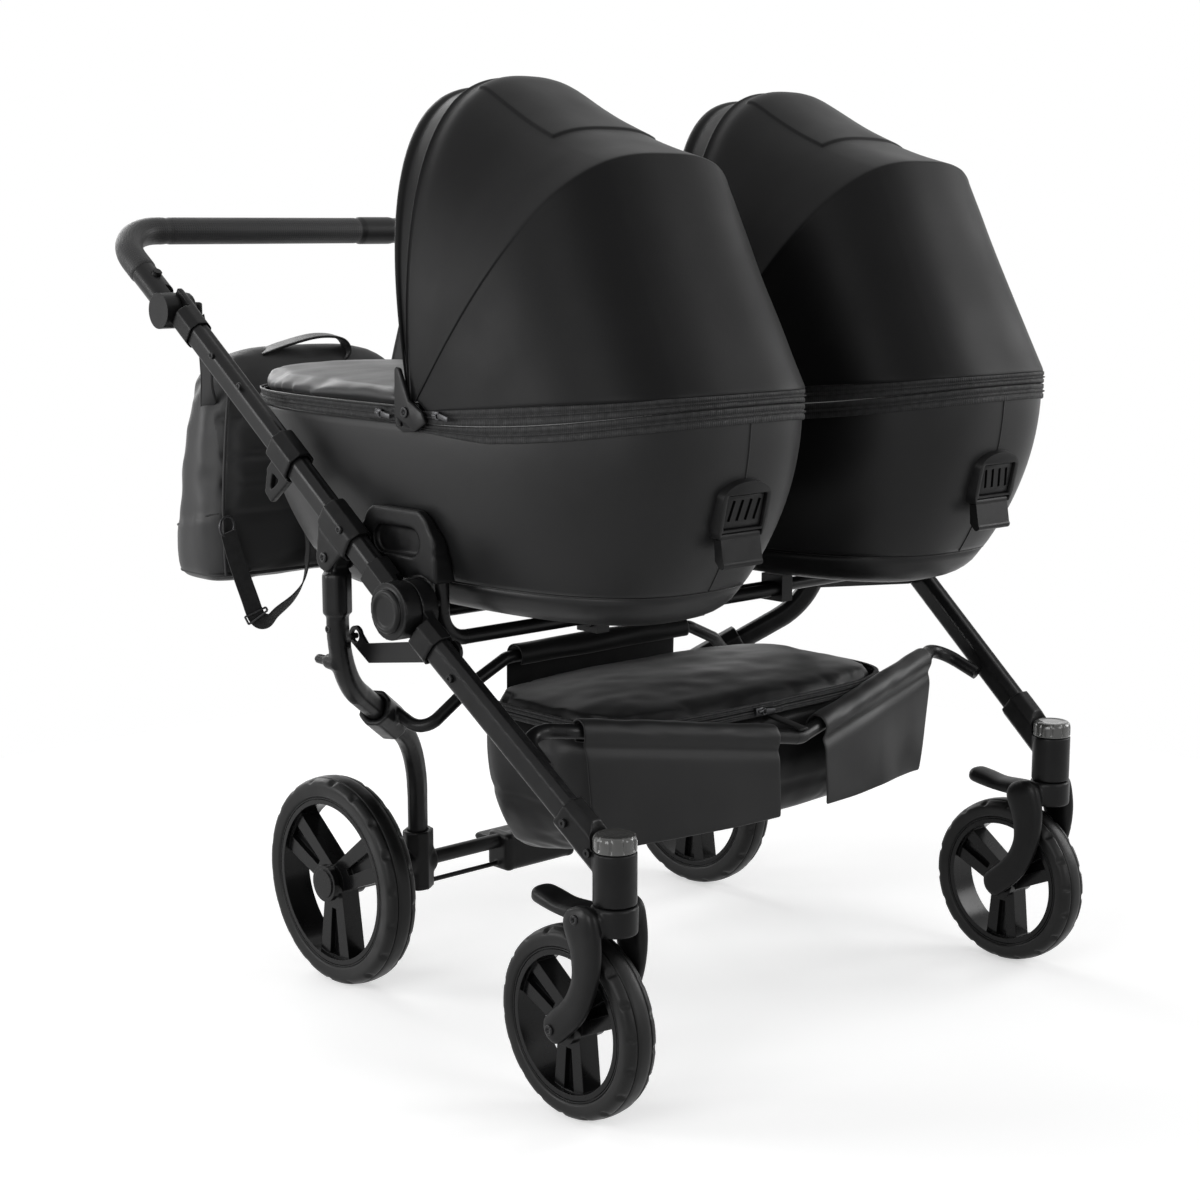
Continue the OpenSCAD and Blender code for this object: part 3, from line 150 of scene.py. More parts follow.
def rough_up(tree, shader, scale, depth, strength, soften=0.0):
    """Fine grain in the surface, with the moulded edges softened first where asked."""
    where = shader_node(tree, "TexCoord")
    relief = shader_node(tree, "TexNoise", Scale=scale)
    bump = shader_node(tree, "Bump", Distance=depth, Strength=strength)
    wire(tree, (where.outputs["Object"], relief.inputs["Vector"]), (relief.outputs["Fac"], bump.inputs["Height"]),
         (bump.outputs["Normal"], shader.inputs["Normal"]))
    if soften:
        edge = shader_node(tree, "Bevel", Radius=soften)
        edge.samples = 4
        wire(tree, (edge.outputs["Normal"], bump.inputs["Normal"]))


def paint(material, *names):
    for name in names:
        nodes[name].data.materials.clear()
        nodes[name].data.materials.append(material)


tube_paint, tree, shader = new_finish("tube_paint", (0.0068, 0.0071), 0.36, Specular_IOR_Level=0.12,
                                      Coat_Weight=0.12, Coat_Roughness=0.25)
spread(tree, shader, "Base Color", (0.0056, 0.0059), (0.0087, 0.009), 18)
spread(tree, shader, "Roughness", 0.3, 0.42, 60)
rough_up(tree, shader, 1600, 0.0002, 0.10, 0.0012)
paint(tube_paint, "cot_cradle", "front_basket_bar", "rear_axle", "fold_links", "centre_adaptor", "handle_bar")

# Knuckles, heads, brackets, sliders, adaptors, pedal, buttons and latch paddles: nylon mouldings
# with a fine spark-eroded texture and rounded edges, duller than the painted tubes. They are
# clamped, screwed or pinned on the tubes and cots that they join.
joint_nylon, tree, shader = new_finish("joint_nylon", (0.0052, 0.0055), 0.45, Specular_IOR_Level=0.14)
spread(tree, shader, "Base Color", (0.0042, 0.0044), (0.0066, 0.0068), 40)
spread(tree, shader, "Roughness", 0.3, 0.44, 90)
rough_up(tree, shader, 2400, 0.0003, 0.16)
paint(joint_nylon, "handle_button_right", "handle_button_left", "cot_latch_right", "cot_latch_left")


def pick(piece):
    bpy.ops.object.select_all(action="DESELECT")
    bpy.context.view_layer.objects.active = piece
    piece.select_set(True)
    return piece


def sew_up(piece):
    """Closes the seam and the poles of a rolled-up grid, and turns its faces outwards."""
    bpy.context.view_layer.objects.active = piece
    bpy.ops.object.mode_set(mode="EDIT")
    bpy.ops.mesh.select_all(action="SELECT")
    bpy.ops.mesh.remove_doubles(threshold=1e-5)
    bpy.ops.mesh.normals_make_consistent(inside=False)
    bpy.ops.object.mode_set(mode="OBJECT")
    return piece


def work(piece, kind, **settings):
    """Adds a modifier and applies it."""
    step = piece.modifiers.new(kind, kind)
    for key, value in settings.items():
        setattr(step, key, value)
    pick(piece)
    bpy.ops.object.modifier_apply(modifier=step.name)
    return piece


def dress(piece, *materials):
    piece.data.materials.clear()
    for m in materials:
        piece.data.materials.append(m)
    for face in piece.data.polygons:
        face.use_smooth = True
    return piece


def seat(piece, body, slot, *stands_for):
    """Puts a piece on its body, in the place of the named CAD nodes. The slot is not used."""
    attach(piece, body)
    for node in stands_for:
        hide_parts(node)
    return piece


home = {node: body for body, held in frame["record"]["behaviour"]["bodies"].items() for node in held}


def mould(material, slot, skin, rounds, *names):
    """Rounds the edges of a hard-edged node on a copy: merged, skinned evenly and then eased."""
    for name in names:
        piece = bpy.data.objects.new(name + "_rounded", nodes[name].data.copy())
        bpy.context.scene.collection.objects.link(piece)
        sew_up(piece)
        work(piece, "REMESH", mode="VOXEL", voxel_size=skin)
        work(piece, "SMOOTH", factor=0.5, iterations=rounds)
        work(piece, "DISPLACE", strength=-0.0003, mid_level=0)
        seat(dress(piece, material), home[name], slot, name)


mould(joint_nylon, "joint_plastic", 0.0012, 5, "lower_knuckles", "upper_knuckles")
mould(joint_nylon, "joint_plastic", 0.0017, 9, "side_adaptors", "leg_brackets", "axle_brackets")
mould(joint_nylon, "joint_plastic", 0.002, 20, "brake_pedal")
mould(joint_nylon, "joint_plastic", 0.0015, 6, "steering_head_right", "steering_head_left", "handle_joints",
      "fold_slider_right", "fold_slider_left")

# Side tubes: eight-sided aluminium extrusions in the same satin black coat. Their edges are
# eased, and the clamps and sockets above grip them.
mould(tube_paint, "tube", 0.0018, 5, "lower_tube_right", "lower_tube_left", "upper_tube_right", "upper_tube_left")

# Rear legs and rear basket bar: bent oval steel tubes, coated like the side tubes, with pressed
# clamps that hold the bar on the legs.
mould(tube_paint, "tube", 0.0018, 12, "rear_leg_right", "rear_leg_left", "basket_rear_bar")

# Front forks: one nylon moulding each, a collar under the steering head with two swept legs, a
# knee over the lever's pin and an eye at the axle. The lock lever is a rounded horn.
steer_x, steer_y = 0.357, -0.4185
front_axle_yz = (-0.3635, 0.1)
leg_line = [(-0.398, 0.2365), (-0.4035, 0.218), (-0.41, 0.192), (-0.4085, 0.16), (-0.394, 0.129), (-0.3665, 0.1025),
            (-0.3535, 0.0925)]
leg_halves = [(0.0075, 0.02), (0.0092, 0.0235), (0.0082, 0.0205), (0.0076, 0.0165), (0.007, 0.016), (0.0068, 0.016),
              (0.006, 0.0145)]
horn_line = [(-0.3925, 0.2175), (-0.3745, 0.2175), (-0.3465, 0.2175), (-0.3245, 0.2205), (-0.3035, 0.2235)]
horn_halves = [(0.018, 0.0085), (0.0185, 0.009), (0.0175, 0.008), (0.0165, 0.009), (0.0145, 0.009)]


def spow(v, p):
    return abs(v) ** p if v >= 0 else -abs(v) ** p


def cloth_grid(name, across, along, place):
    """A grid whose corners are laid over the piece: place gets whole steps across and along."""
    bpy.ops.object.select_all(action="DESELECT")
    bpy.ops.mesh.primitive_grid_add(x_subdivisions=across, y_subdivisions=along, size=2)
    piece = bpy.context.object
    piece.name = name
    for v in piece.data.vertices:
        v.co = place(round((v.co.x + 1) / 2 * across), round((v.co.y + 1) / 2 * along))
    return piece


def smooth_line(points, count):
    """Points on a smooth curve through the given ones, evenly counted."""
    line = []
    for s in range(count + 1):
        u = s / count * (len(points) - 1)
        k = min(int(u), len(points) - 2)
        u -= k
        a, b, c, d = (Vector(points[max(0, min(len(points) - 1, m))]) for m in (k - 1, k, k + 1, k + 2))
        bend = (2 * a - 5 * b + 4 * c - d) * u ** 2 + (3 * b - a - 3 * c + d) * u ** 3
        line.append(0.5 * (2 * b + (c - a) * u + bend))
    return line


def limb(name, x, centres, halves, count=36):
    """A rounded arm in the Y-Z plane at x: half its size along X and half across it at each centre."""
    line = smooth_line([(x, y, z) for y, z in centres], count)
    size = smooth_line([(*h, 0) for h in halves], count)

    def place(i, j):
        along = line[min(j + 1, count)] - line[max(j - 1, 0)]
        across = Vector((0, along.z, -along.y)).normalized()
        end = min(1.0, j / count / 0.14, (1 - j / count) / 0.14)
        shrink = sqrt(max(0.0, 1 - (1 - end) ** 2))
        angle = 2 * pi * i / 32
        return (line[j] + Vector((size[j].x * shrink * spow(cos(angle), 0.75), 0, 0))
                + across * size[j].y * shrink * spow(sin(angle), 0.75))
    return sew_up(cloth_grid(name, 32, count, place))


def block(name, size, centre, round_off, turn=(0, 0, 0), steps=2):
    """A moulded block with rounded edges, turned about its own middle."""
    bpy.ops.object.select_all(action="DESELECT")
    bpy.ops.mesh.primitive_cube_add(size=1, location=centre, rotation=[radians(a) for a in turn])
    piece = bpy.context.object
    piece.name = name
    piece.scale = size
    bpy.ops.object.transform_apply(location=True, rotation=True, scale=True)
    return work(piece, "BEVEL", width=round_off, segments=steps, limit_method="NONE")


def rod(radius, depth, centre, sides, along_x=True, ease=0.0, steps=2):
    """A round bar along X or Z, with its end edges eased where asked."""
    bpy.ops.object.select_all(action="DESELECT")
    bpy.ops.mesh.primitive_cylinder_add(vertices=sides, radius=radius, depth=depth, location=centre,
                                        rotation=(0, pi / 2 if along_x else 0, 0))
    piece = bpy.context.object
    bpy.ops.object.transform_apply(location=True, rotation=True, scale=True)
    if ease:
        work(piece, "BEVEL", width=ease, segments=steps, limit_method="ANGLE", angle_limit=radians(60))
    return piece


def join(name, pieces):
    bpy.ops.object.select_all(action="DESELECT")
    for p in pieces:
        p.select_set(True)
    bpy.context.view_layer.objects.active = pieces[0]
    bpy.ops.object.join()
    bpy.context.object.name = name
    return bpy.context.object


for side, x in (("right", -steer_x), ("left", steer_x)):
    parts = [block("shoulder", (0.064, 0.03, 0.028), (x, -0.4115, 0.2195), 0.01, steps=4),
             rod(0.0235, 0.0295, (x, steer_y, 0.2208), 64, False, 0.003, 3)]
    for way in (-1, 1):
        parts.append(limb("leg", x + way * 0.0312, leg_line, leg_halves))
        parts.append(rod(0.011, 0.008, (x + way * 0.0335, *front_axle_yz), 40, ease=0.0015))
    parts.append(rod(0.005, 0.07, (x, *front_axle_yz), 32, ease=0.001))
    fork = work(join("fork_moulding_" + side, parts), "REMESH", mode="VOXEL", voxel_size=0.0014)
    work(fork, "SMOOTH", factor=0.5, iterations=8)
    seat(dress(fork, joint_nylon), "fork_" + side, "joint_plastic", "fork_" + side)
    horn = limb("lever_horn_" + side, x, horn_line, horn_halves)
    seat(dress(horn, joint_nylon), "lock_lever_" + side, "joint_plastic", "lock_lever_" + side)

# Brake rod: a thin rod from leg to leg with a rounded nylon housing over the axle, open at the
# back between two cheeks that carry the pedal's pin.
brake = [block("housing", (0.116, 0.025, 0.049), (0, 0.113, 0.1115), 0.0095, steps=4)]
for x in (-0.049, 0.049):
    brake.append(block("cheek", (0.018, 0.042, 0.049), (x, 0.1215, 0.1115), 0.0075, steps=4))
brake += [rod(0.0031, 0.358, (0, 0.1215, 0.096), 24), rod(0.0022, 0.09, (0, 0.1345, 0.111), 24)]
brake = sew_up(join("brake_housing", brake))
work(brake, "REMESH", mode="VOXEL", voxel_size=0.0013)
work(brake, "SMOOTH", factor=0.5, iterations=3)
seat(dress(brake, joint_nylon), home["brake_rod"], "joint_plastic", "brake_rod")

# Steering head caps: smoked clear polycarbonate, glossy, with flutes round the side that part
# it into small panes, and a rounded top edge. Each is pressed onto its head.
smoked_clear, tree, shader = new_finish("smoked_clear", (0.075, 0.072), 0.14, Transmission_Weight=0.3,
                                        Coat_Weight=0.6, Coat_Roughness=0.08)
spread(tree, shader, "Roughness", 0.1, 0.22, 60)
flutes = 10
cap_side = [(0, 0), (0.012, 0), (0.0205, 0), (0.0218, 0.0006), (0.022, 0.002), (0.022, 0.0025), (0.022, 0.006),
            (0.022, 0.0105), (0.0217, 0.0132), (0.0208, 0.0155), (0.019, 0.017), (0.0165, 0.0176), (0.0158, 0.017),
            (0.009, 0.0172), (0, 0.0173)]


def cap_place(i, j):
    r, z = cap_side[j]
    angle = 2 * pi * i / 160
    flute = max(0.0, 1 - (((angle * flutes / pi / 2 + 0.5) % 1 - 0.5) / 0.12) ** 2)
    r -= 0.0013 * flute if 0.0022 < z < 0.0165 and r > 0.015 else 0
    return Vector((r * cos(angle) - steer_x, r * sin(angle) + steer_y, z + 0.2901))


def other_side(piece, name):
    """The mirrored twin for the pram's left-hand side, with a mesh of its own."""
    twin = bpy.data.objects.new(name, piece.data.copy())
    bpy.context.scene.collection.objects.link(twin)
    twin.data.transform(Matrix.Scale(-1, 4, (1, 0, 0)))
    twin.data.flip_normals()
    return twin


cap = dress(sew_up(cloth_grid("cap_right", 160, len(cap_side) - 1, cap_place)), smoked_clear)
seat(other_side(cap, "cap_left"), "chassis", "smoked_cap")
seat(cap, "chassis", "smoked_cap", "head_caps")

# Tyres: solid foam-filled rubber, dull black, with two grooves round the tread and scooped
# notches along both shoulders. A bead holds each in its rim.
tyre_rubber, tree, shader = new_finish("tyre_rubber", (0.006, 0.0061), 0.48, Specular_IOR_Level=0.18)
spread(tree, shader, "Base Color", (0.0046, 0.0047), (0.0082, 0.0082), 26)
spread(tree, shader, "Roughness", 0.34, 0.48, 50)
rough_up(tree, shader, 900, 0.0003, 0.1)
notches, notch_steps = 18, 16
half_side = [(0.0, 0.0), (0.0042, 0.0002), (0.0084, 0.0008), (0.0088, 0.0012), (0.009, 0.0042), (0.01, 0.0042),
             (0.0102, 0.0013), (0.0106, 0.0011), (0.0124, 0.0017), (0.0142, 0.0023), (0.016, 0.0032), (0.0176, 0.0044),
             (0.0188, 0.0058), (0.0196, 0.0075), (0.02, 0.0095), (0.02, 0.0125), (0.0196, 0.0145)]


def tyre_place(i, j):
    across, deep = tyre_side[j % len(tyre_side)]
    turn = i / (notches * notch_steps)
    step = (turn * notches + (0.5 if across < 0 else 0)) % 1
    scoop = max(0.0, min(step / 0.2, (0.27 - step) / 0.07))
    reach = max(0.0, 1 - (abs(abs(across) - 0.0152) / 0.0048) ** 2) if 0.001 < deep < 0.0075 else 0
    deep += 0.0034 * scoop * reach
    across -= (0.001 if across > 0 else -0.001) * scoop * reach
    angle = 2 * pi * turn
    return Vector((across, (tyre_r - deep) * cos(angle), (tyre_r - deep) * sin(angle)))


rear_x, rear_axle_y = 0.298, 0.1215
for wheel, tyre_r, thick, x, y in (("front", 0.1, 0.02, steer_x, front_axle_yz[0]),
                                   ("rear", 0.125, 0.023, rear_x, rear_axle_y)):
    one = half_side + [(0.0195, thick - 0.003), (0.0185, thick - 0.0005), (0.0165, thick)]
    tyre_side = [(-a, d) for a, d in reversed(one)] + one[1:]
    for side, way in (("right", -1), ("left", 1)):
        name = "%s_tyre_%s" % (wheel, side)
        tyre = sew_up(cloth_grid(name + "_tread", notches * notch_steps, len(tyre_side), tyre_place))
        tyre.data.transform(Matrix.Translation((way * x, y, tyre_r)))
        seat(dress(tyre, tyre_rubber), "%s_wheel_%s" % (wheel, side), "tyre_rubber", name)

# Wheel rims: moulded nylon with three hollowed spokes and a glossy inner lip. They run on the
# axles, and the tyres sit round them.
rim_nylon, tree, shader = new_finish("rim_nylon", (0.0034, 0.0036), 0.3, Specular_IOR_Level=0.1,
                                     Coat_Weight=0.15, Coat_Roughness=0.15)
spread(tree, shader, "Roughness", 0.2, 0.34, 30)
rough_up(tree, shader, 1800, 0.0002, 0.1, 0.0016)
paint(rim_nylon, "front_rim_right", "front_rim_left", "rear_rim_right", "rear_rim_left")

# Frame screws: blackened steel with a hexagon socket. They hold the sockets of the knuckles and
# the steering heads on the side tubes.
screw_black, tree, shader = new_finish("screw_black", (0.0186, 0.0192), 0.32, Metallic=0.6)
rough_up(tree, shader, 1200, 0.0002, 0.1, 0.0006)
paint(screw_black, "frame_screws")

# Carrycots: a deep tub of matte leatherette over foam and board, with a coarse-grained band
# sewn round its foot, seams down both ends and a woven lining. It drops onto adaptors.
cot_x, cot_y = 0.203, -0.0915
cot_low, cot_rim = 0.486, 0.688
cot_half_l, cot_half_w, cot_n = 0.357, 0.167, 3.2
hinge_y, hinge_z = -0.1225, 0.7


def oval(angle, half_w, half_l, n):
    """Where a round outline with flattened sides is at an angle."""
    return half_w * spow(cos(angle), 2 / n), half_l * spow(sin(angle), 2 / n)


def even_angles(count, half_l, half_w, n):
    """Angles that step evenly along such an outline."""
    dense = [2 * pi * i / 3000 for i in range(3001)]
    points = [Vector(oval(t, half_w, half_l, n)) for t in dense]
    run = [0.0]
    for p, q in zip(points, points[1:]):
        run.append(run[-1] + (q - p).length)
    angles, j = [], 0
    for i in range(count + 1):
        while j < 2999 and run[j + 1] < run[-1] * i / count:
            j += 1
        angles.append(dense[j])
    return angles


def rim_lift(y):
    return 0.028 * max(0.0, (-y - 0.031) / (cot_half_l - 0.031)) ** 2


def cot_point(angle, t, inset=0.0, scale=1.0):
    k = (1 - min(t, 1)) ** 2.1
    n = cot_n - 0.5 * k
    x, y = oval(angle, cot_half_w - 0.046 * k - inset, cot_half_l - 0.086 * k - inset, n)
    return Vector((scale * x - cot_x, scale * y + cot_y,
                   cot_low + (cot_rim + rim_lift(y) - cot_low) * t))


def pair(piece, name, slot, body, *stands_for):
    """Seats a right-hand piece and its mirrored twin. A * in a name stands for the side."""
    twin = other_side(piece, name + "_left")
    piece.name = name + "_right"
    for p, side in ((piece, "right"), (twin, "left")):
        seat(p, body.replace("*", side), slot, *(node.replace("*", side) for node in stands_for))
    return piece, twin


def leather(name, low, high, rough_low, rough_high, grain, depth, shine=0.25):
    """Leatherette: pressed grain over soft shallow folds, a little cloudy."""
    material, tree, shader = new_finish(name, high, rough_high, Sheen_Weight=0.04, Specular_IOR_Level=shine)
    spread(tree, shader, "Base Color", low, high, 7)
    spread(tree, shader, "Roughness", rough_low, rough_high, 14)
    where = shader_node(tree, "TexCoord")
    cells = shader_node(tree, "TexVoronoi", Scale=grain)
    folds = shader_node(tree, "TexNoise", Scale=34, Detail=3)
    fine = shader_node(tree, "Bump", Distance=depth, Strength=0.35)
    soft = shader_node(tree, "Bump", Distance=0.0012, Strength=0.12)
    wire(tree, (where.outputs["Object"], cells.inputs["Vector"]), (where.outputs["Object"], folds.inputs["Vector"]),
         (cells.outputs["Distance"], fine.inputs["Height"]), (folds.outputs["Fac"], soft.inputs["Height"]),
         (soft.outputs["Normal"], fine.inputs["Normal"]), (fine.outputs["Normal"], shader.inputs["Normal"]))
    return material


def woven(name, low, high, pitch):
    """Plain weave: crossed sets of ribs on the surface, a little fuzzy."""
    material, tree, shader = new_finish(name, high, 0.85, Sheen_Weight=0.15)
    spread(tree, shader, "Base Color", low, high, 120)
    where = shader_node(tree, "TexCoord")
    total = None
    for direction in ("X", "Y", "Z"):
        ribs = shader_node(tree, "TexWave", Scale=pitch)
        ribs.bands_direction = direction
        wire(tree, (where.outputs["Object"], ribs.inputs["Vector"]))
        if total:
            add = shader_node(tree, "Math")
            wire(tree, (total, add.inputs[0]), (ribs.outputs["Fac"], add.inputs[1]))
        total = add.outputs[0] if total else ribs.outputs["Fac"]
    bump = shader_node(tree, "Bump", Distance=0.0003, Strength=0.3)
    wire(tree, (total, bump.inputs["Height"]), (bump.outputs["Normal"], shader.inputs["Normal"]))
    return material


smooth_leather = leather("smooth_leather", (0.0045, 0.0047), (0.0072, 0.0075), 0.36, 0.46, 900, 0.00015, 0.2)
grained_leather = leather("grained_leather", (0.003, 0.0032), (0.0055, 0.0057), 0.42, 0.55, 420, 0.0009, 0.16)
cot_lining = woven("cot_lining", (0.03, 0.031), (0.045, 0.046), 900)
tub_levels = [(0, 0.03, 0), (0, 0.03, 0.5), (0, 0.03, 0.97), (0.006, 0.021, 1), (0.02, 0.0135, 1), (0.04, 0.0075, 1),
              (0.065, 0.0035, 1), (0.095, 0.0012, 1), (0.13, 0.0008, 1), (0.163, 0.0008, 1), (0.168, 0.0026, 1),
              (0.174, 0.0026, 1), (0.179, 0.0002, 1)]
tub_levels += [(0.2 + 0.05 * i, 0, 1) for i in range(16)]
tub_levels += [(0.985, 0.0004, 1), (1.0, 0.0022, 1), (1.006, 0.006, 1), (1.0, 0.0105, 1)]
tub_levels += [(0.95 - 0.08 * i, 0.0125, 1) for i in range(11)]
tub_levels += [(0.075, 0.02, 1), (0.069, 0.03, 1), (0.069, 0.03, 0.5), (0.069, 0.03, 0)]
band_level, lining_level = 10, 31
rim_angles = even_angles(216, cot_half_l, cot_half_w, cot_n)


def tub_place(i, j):
    return cot_point(rim_angles[i], *tub_levels[j])


tub = cloth_grid("cot_tub", 216, len(tub_levels) - 1, tub_place)
for face in tub.data.polygons:
    level = min(face.vertices) // len(rim_angles)
    face.material_index = 1 if level < band_level else 2 if level > lining_level else 0
sew_up(tub)
dress(tub, smooth_leather, grained_leather, cot_lining)
pair(tub, "cot_tub", "leatherette", "cot_*", "cot_shell_*")


def welt(name, points, radius, material, closed=False):
    """A thin sewn cord or bent wire: a round section swept along the points."""
    line = bpy.data.curves.new(name, "CURVE")
    line.dimensions = "3D"
    line.bevel_depth = radius
    line.bevel_resolution = 2
    line.use_fill_caps = True
    spline = line.splines.new("POLY")
    spline.points.add(len(points) - 1)
    for q, p in zip(spline.points, points):
        q.co = (*p, 1)
    spline.use_cyclic_u = closed
    piece = bpy.data.objects.new(name, line)
    bpy.context.scene.collection.objects.link(piece)
    pick(piece)
    bpy.ops.object.convert(target="MESH")
    return dress(bpy.context.object, material)


for name, angle in (("cot_head_seam", -pi / 2), ("cot_foot_seam", pi / 2)):
    seam = [cot_point(angle, 0.18 + 0.77 * i / 24, -0.0001) for i in range(25)]
    pair(welt(name, seam, 0.0009, smooth_leather), name, "leatherette", "cot_*")
seam = [cot_point(a, 0.171, 0.0014) for a in rim_angles[:-1]]
pair(welt("cot_band_seam", seam, 0.0011, smooth_leather, True), "cot_band_seam", "leatherette", "cot_*")

# Zips round the cot: woven tape with a nylon coil. The upper row takes the hood skirt, the
# lower one the cover, and both run from hinge to hinge round the head end.
zip_tape, tree, shader = new_finish("zip_tape", (0.016, 0.0165), 0.7)
where = shader_node(tree, "TexCoord")
ribs = shader_node(tree, "TexWave", Scale=110, Distortion=0.4)
bump = shader_node(tree, "Bump", Distance=0.0006, Strength=0.5)
wire(tree, (where.outputs["UV"], ribs.inputs["Vector"]), (ribs.outputs["Fac"], bump.inputs["Height"]),
     (bump.outputs["Normal"], shader.inputs["Normal"]))
spread(tree, shader, "Base Color", (0.011, 0.0113), (0.02, 0.0205), 160)
spread(tree, shader, "Roughness", 0.5, 0.75, 200)
zip_profile = [(0.0, -0.002), (0.0, 0.0012), (0.06, 0.0022), (0.3, 0.0022), (0.36, 0.0012), (0.42, 0.0014),
               (0.46, 0.0032), (0.54, 0.0032), (0.58, 0.0014), (0.64, 0.0012), (0.7, 0.0022), (0.94, 0.0022),
               (1.0, 0.0012), (1.0, -0.002)]
head_angles = [pi + a for a in even_angles(300, cot_half_l, cot_half_w, cot_n)[:151]]
head_angles = [a for a in head_angles if cot_point(a, 1).y < hinge_y + 0.004]


def skirt_top(y):
    return 0.0005 + hinge_z + tan(radians(5)) * max(0.0, hinge_y - y)


def face_out(piece, x, y):
    """Turns an open strip's faces away from the upright line through x and y."""
    face = piece.data.polygons[len(piece.data.polygons) // 2]
    if (face.center - Vector((x, y, face.center.z))).dot(face.normal) < 0:
        piece.data.flip_normals()
    return piece


def zip_upper_place(i, j):
    share, out = zip_profile[j]
    rim = cot_point(head_angles[i], 1, -out)
    low, high = rim.z + 0.0012, skirt_top(rim.y)
    return Vector((rim.x, rim.y, low + (high - low) * share))


def zip_lower_place(i, j):
    share, out = zip_profile[j]
    rim = cot_point(head_angles[i], 1, -out)
    tall = min(1.0, 0.35 + min(i, len(head_angles) - 1 - i) / 30)
    low, high = rim.z - 0.0165 * tall, rim.z + 0.0002
    return Vector((rim.x, rim.y, low + (high - low) * share))


for name, place in (("zip_upper", zip_upper_place), ("zip_lower", zip_lower_place)):
    row = face_out(cloth_grid(name, len(head_angles) - 1, len(zip_profile) - 1, place), -cot_x, cot_y)
    pair(dress(row, zip_tape), name, "lining", "cot_*")

# Zip pulls: a cast slider with a bridge, a ring and a small hanging tab, in dark nickel. They
# run on the zips beside the hood's hinge.
nickel, tree, shader = new_finish("dark_nickel", (0.05, 0.052), 0.36, Metallic=1.0)
spread(tree, shader, "Roughness", 0.3, 0.46, 300)


def hoop(name, centre, turn, radius, wire_r, around=40, section=10):
    bpy.ops.object.select_all(action="DESELECT")
    bpy.ops.mesh.primitive_torus_add(location=centre, rotation=[radians(a) for a in turn], major_radius=radius,
                                     minor_radius=wire_r, major_segments=around, minor_segments=section)
    bpy.ops.object.transform_apply(location=True, rotation=True, scale=True)
    bpy.context.object.name = name
    return bpy.context.object


def zip_pull(name, place, turn, swing):
    """Slider, bridge and tab, made flat at the origin and then laid on the tape."""
    pull = join(name, [block("slider", (0.011, 0.0042, 0.0085), (0, -0.0024, 0), 0.0012),
                       block("bridge", (0.0065, 0.003, 0.003), (0, -0.0052, 0), 0.0009),
                       hoop("ring", (0.006, -0.0056, -0.001), (90, 0, 0), 0.0032, 0.0008, 16, 6),
                       block("tab", (0.015, 0.0014, 0.0055), (0.0155, -0.0058, -0.0015), 0.0006, (0, swing, 0))])
    pull.data.transform(Matrix.Translation(place) @ Matrix.Rotation(radians(turn), 4, "Z"))
    return dress(pull, nickel)


near_side = cot_x + cot_half_w
for name, ahead, z, swing in (("zip_pull_hood", -0.047, 0.7, 12), ("zip_pull_cover", 0.05, 0.6965, 8)):
    pair(zip_pull(name, (-near_side - 0.003, hinge_y + ahead, z), -90, swing), name, "screw_steel", "cot_*")

# Foot covers: a wadded leatherette apron that closes the cot from the foot end to the hood. It
# is sewn to a side band with its own zip, and lies slack enough to show a few soft creases.
cover_half_l, cover_half_w = cot_half_l + 0.002, cot_half_w + 0.001
cover_levels = [(0.02, 0.7032, 0), (0.02, 0.7032, 0.6), (0.007, 0.7034, 1), (0.002, 0.705, 1), (0.0, 0.709, 1),
                (0.0015, 0.7135, 1), (0.007, 0.7175, 1), (0.018, 0.7195, 1), (0.04, 0.7205, 1), (0.07, 0.721, 1),
                (0.1, 0.7213, 0.85), (0.12, 0.7215, 0.5), (0.12, 0.7215, 0)]
cover_angles = even_angles(150, cover_half_l, cover_half_w, cot_n)


def cover_place(i, j):
    inset, z, scale = cover_levels[j]
    x, y = oval(cover_angles[i], cover_half_w - inset, cover_half_l - inset, cot_n)
    y = max(y, 0.6 * inset - 0.005)
    lift = 0.006 * cos(pi / 2 * x * scale / cover_half_w) if z > 0.706 else 0
    return Vector((x * scale - cot_x, 0.17 + (y - 0.17) * scale + cot_y, z + lift))


def plump(piece, voxel, pressure, cap):
    """Fills a sewn case: remeshed, blown up as cloth, then held close to its cut."""
    work(piece, "REMESH", mode="VOXEL", voxel_size=voxel)
    cut = [v.co.copy() for v in piece.data.vertices]
    filling = piece.modifiers.new("filling", "CLOTH")
    filling.settings.use_pressure = True
    filling.settings.uniform_pressure_force = pressure
    filling.settings.effector_weights.gravity = 0
    filling.settings.quality = 4
    filling.settings.mass = 0.25
    filling.settings.shrink_min = -0.03
    filling.collision_settings.use_collision = False
    for step in range(1, 19):
        bpy.context.scene.frame_set(step)
    bpy.context.view_layer.objects.active = piece
    bpy.ops.object.modifier_apply(modifier=filling.name)
    bpy.context.scene.frame_set(1)
    for v, c in zip(piece.data.vertices, cut):
        move = v.co - c
        if move.length > cap:
            v.co = c + move * (cap / move.length)
    return work(piece, "SMOOTH", factor=0.5, iterations=2)


def refine(piece):
    return work(piece, "SUBSURF", levels=1, render_levels=1)


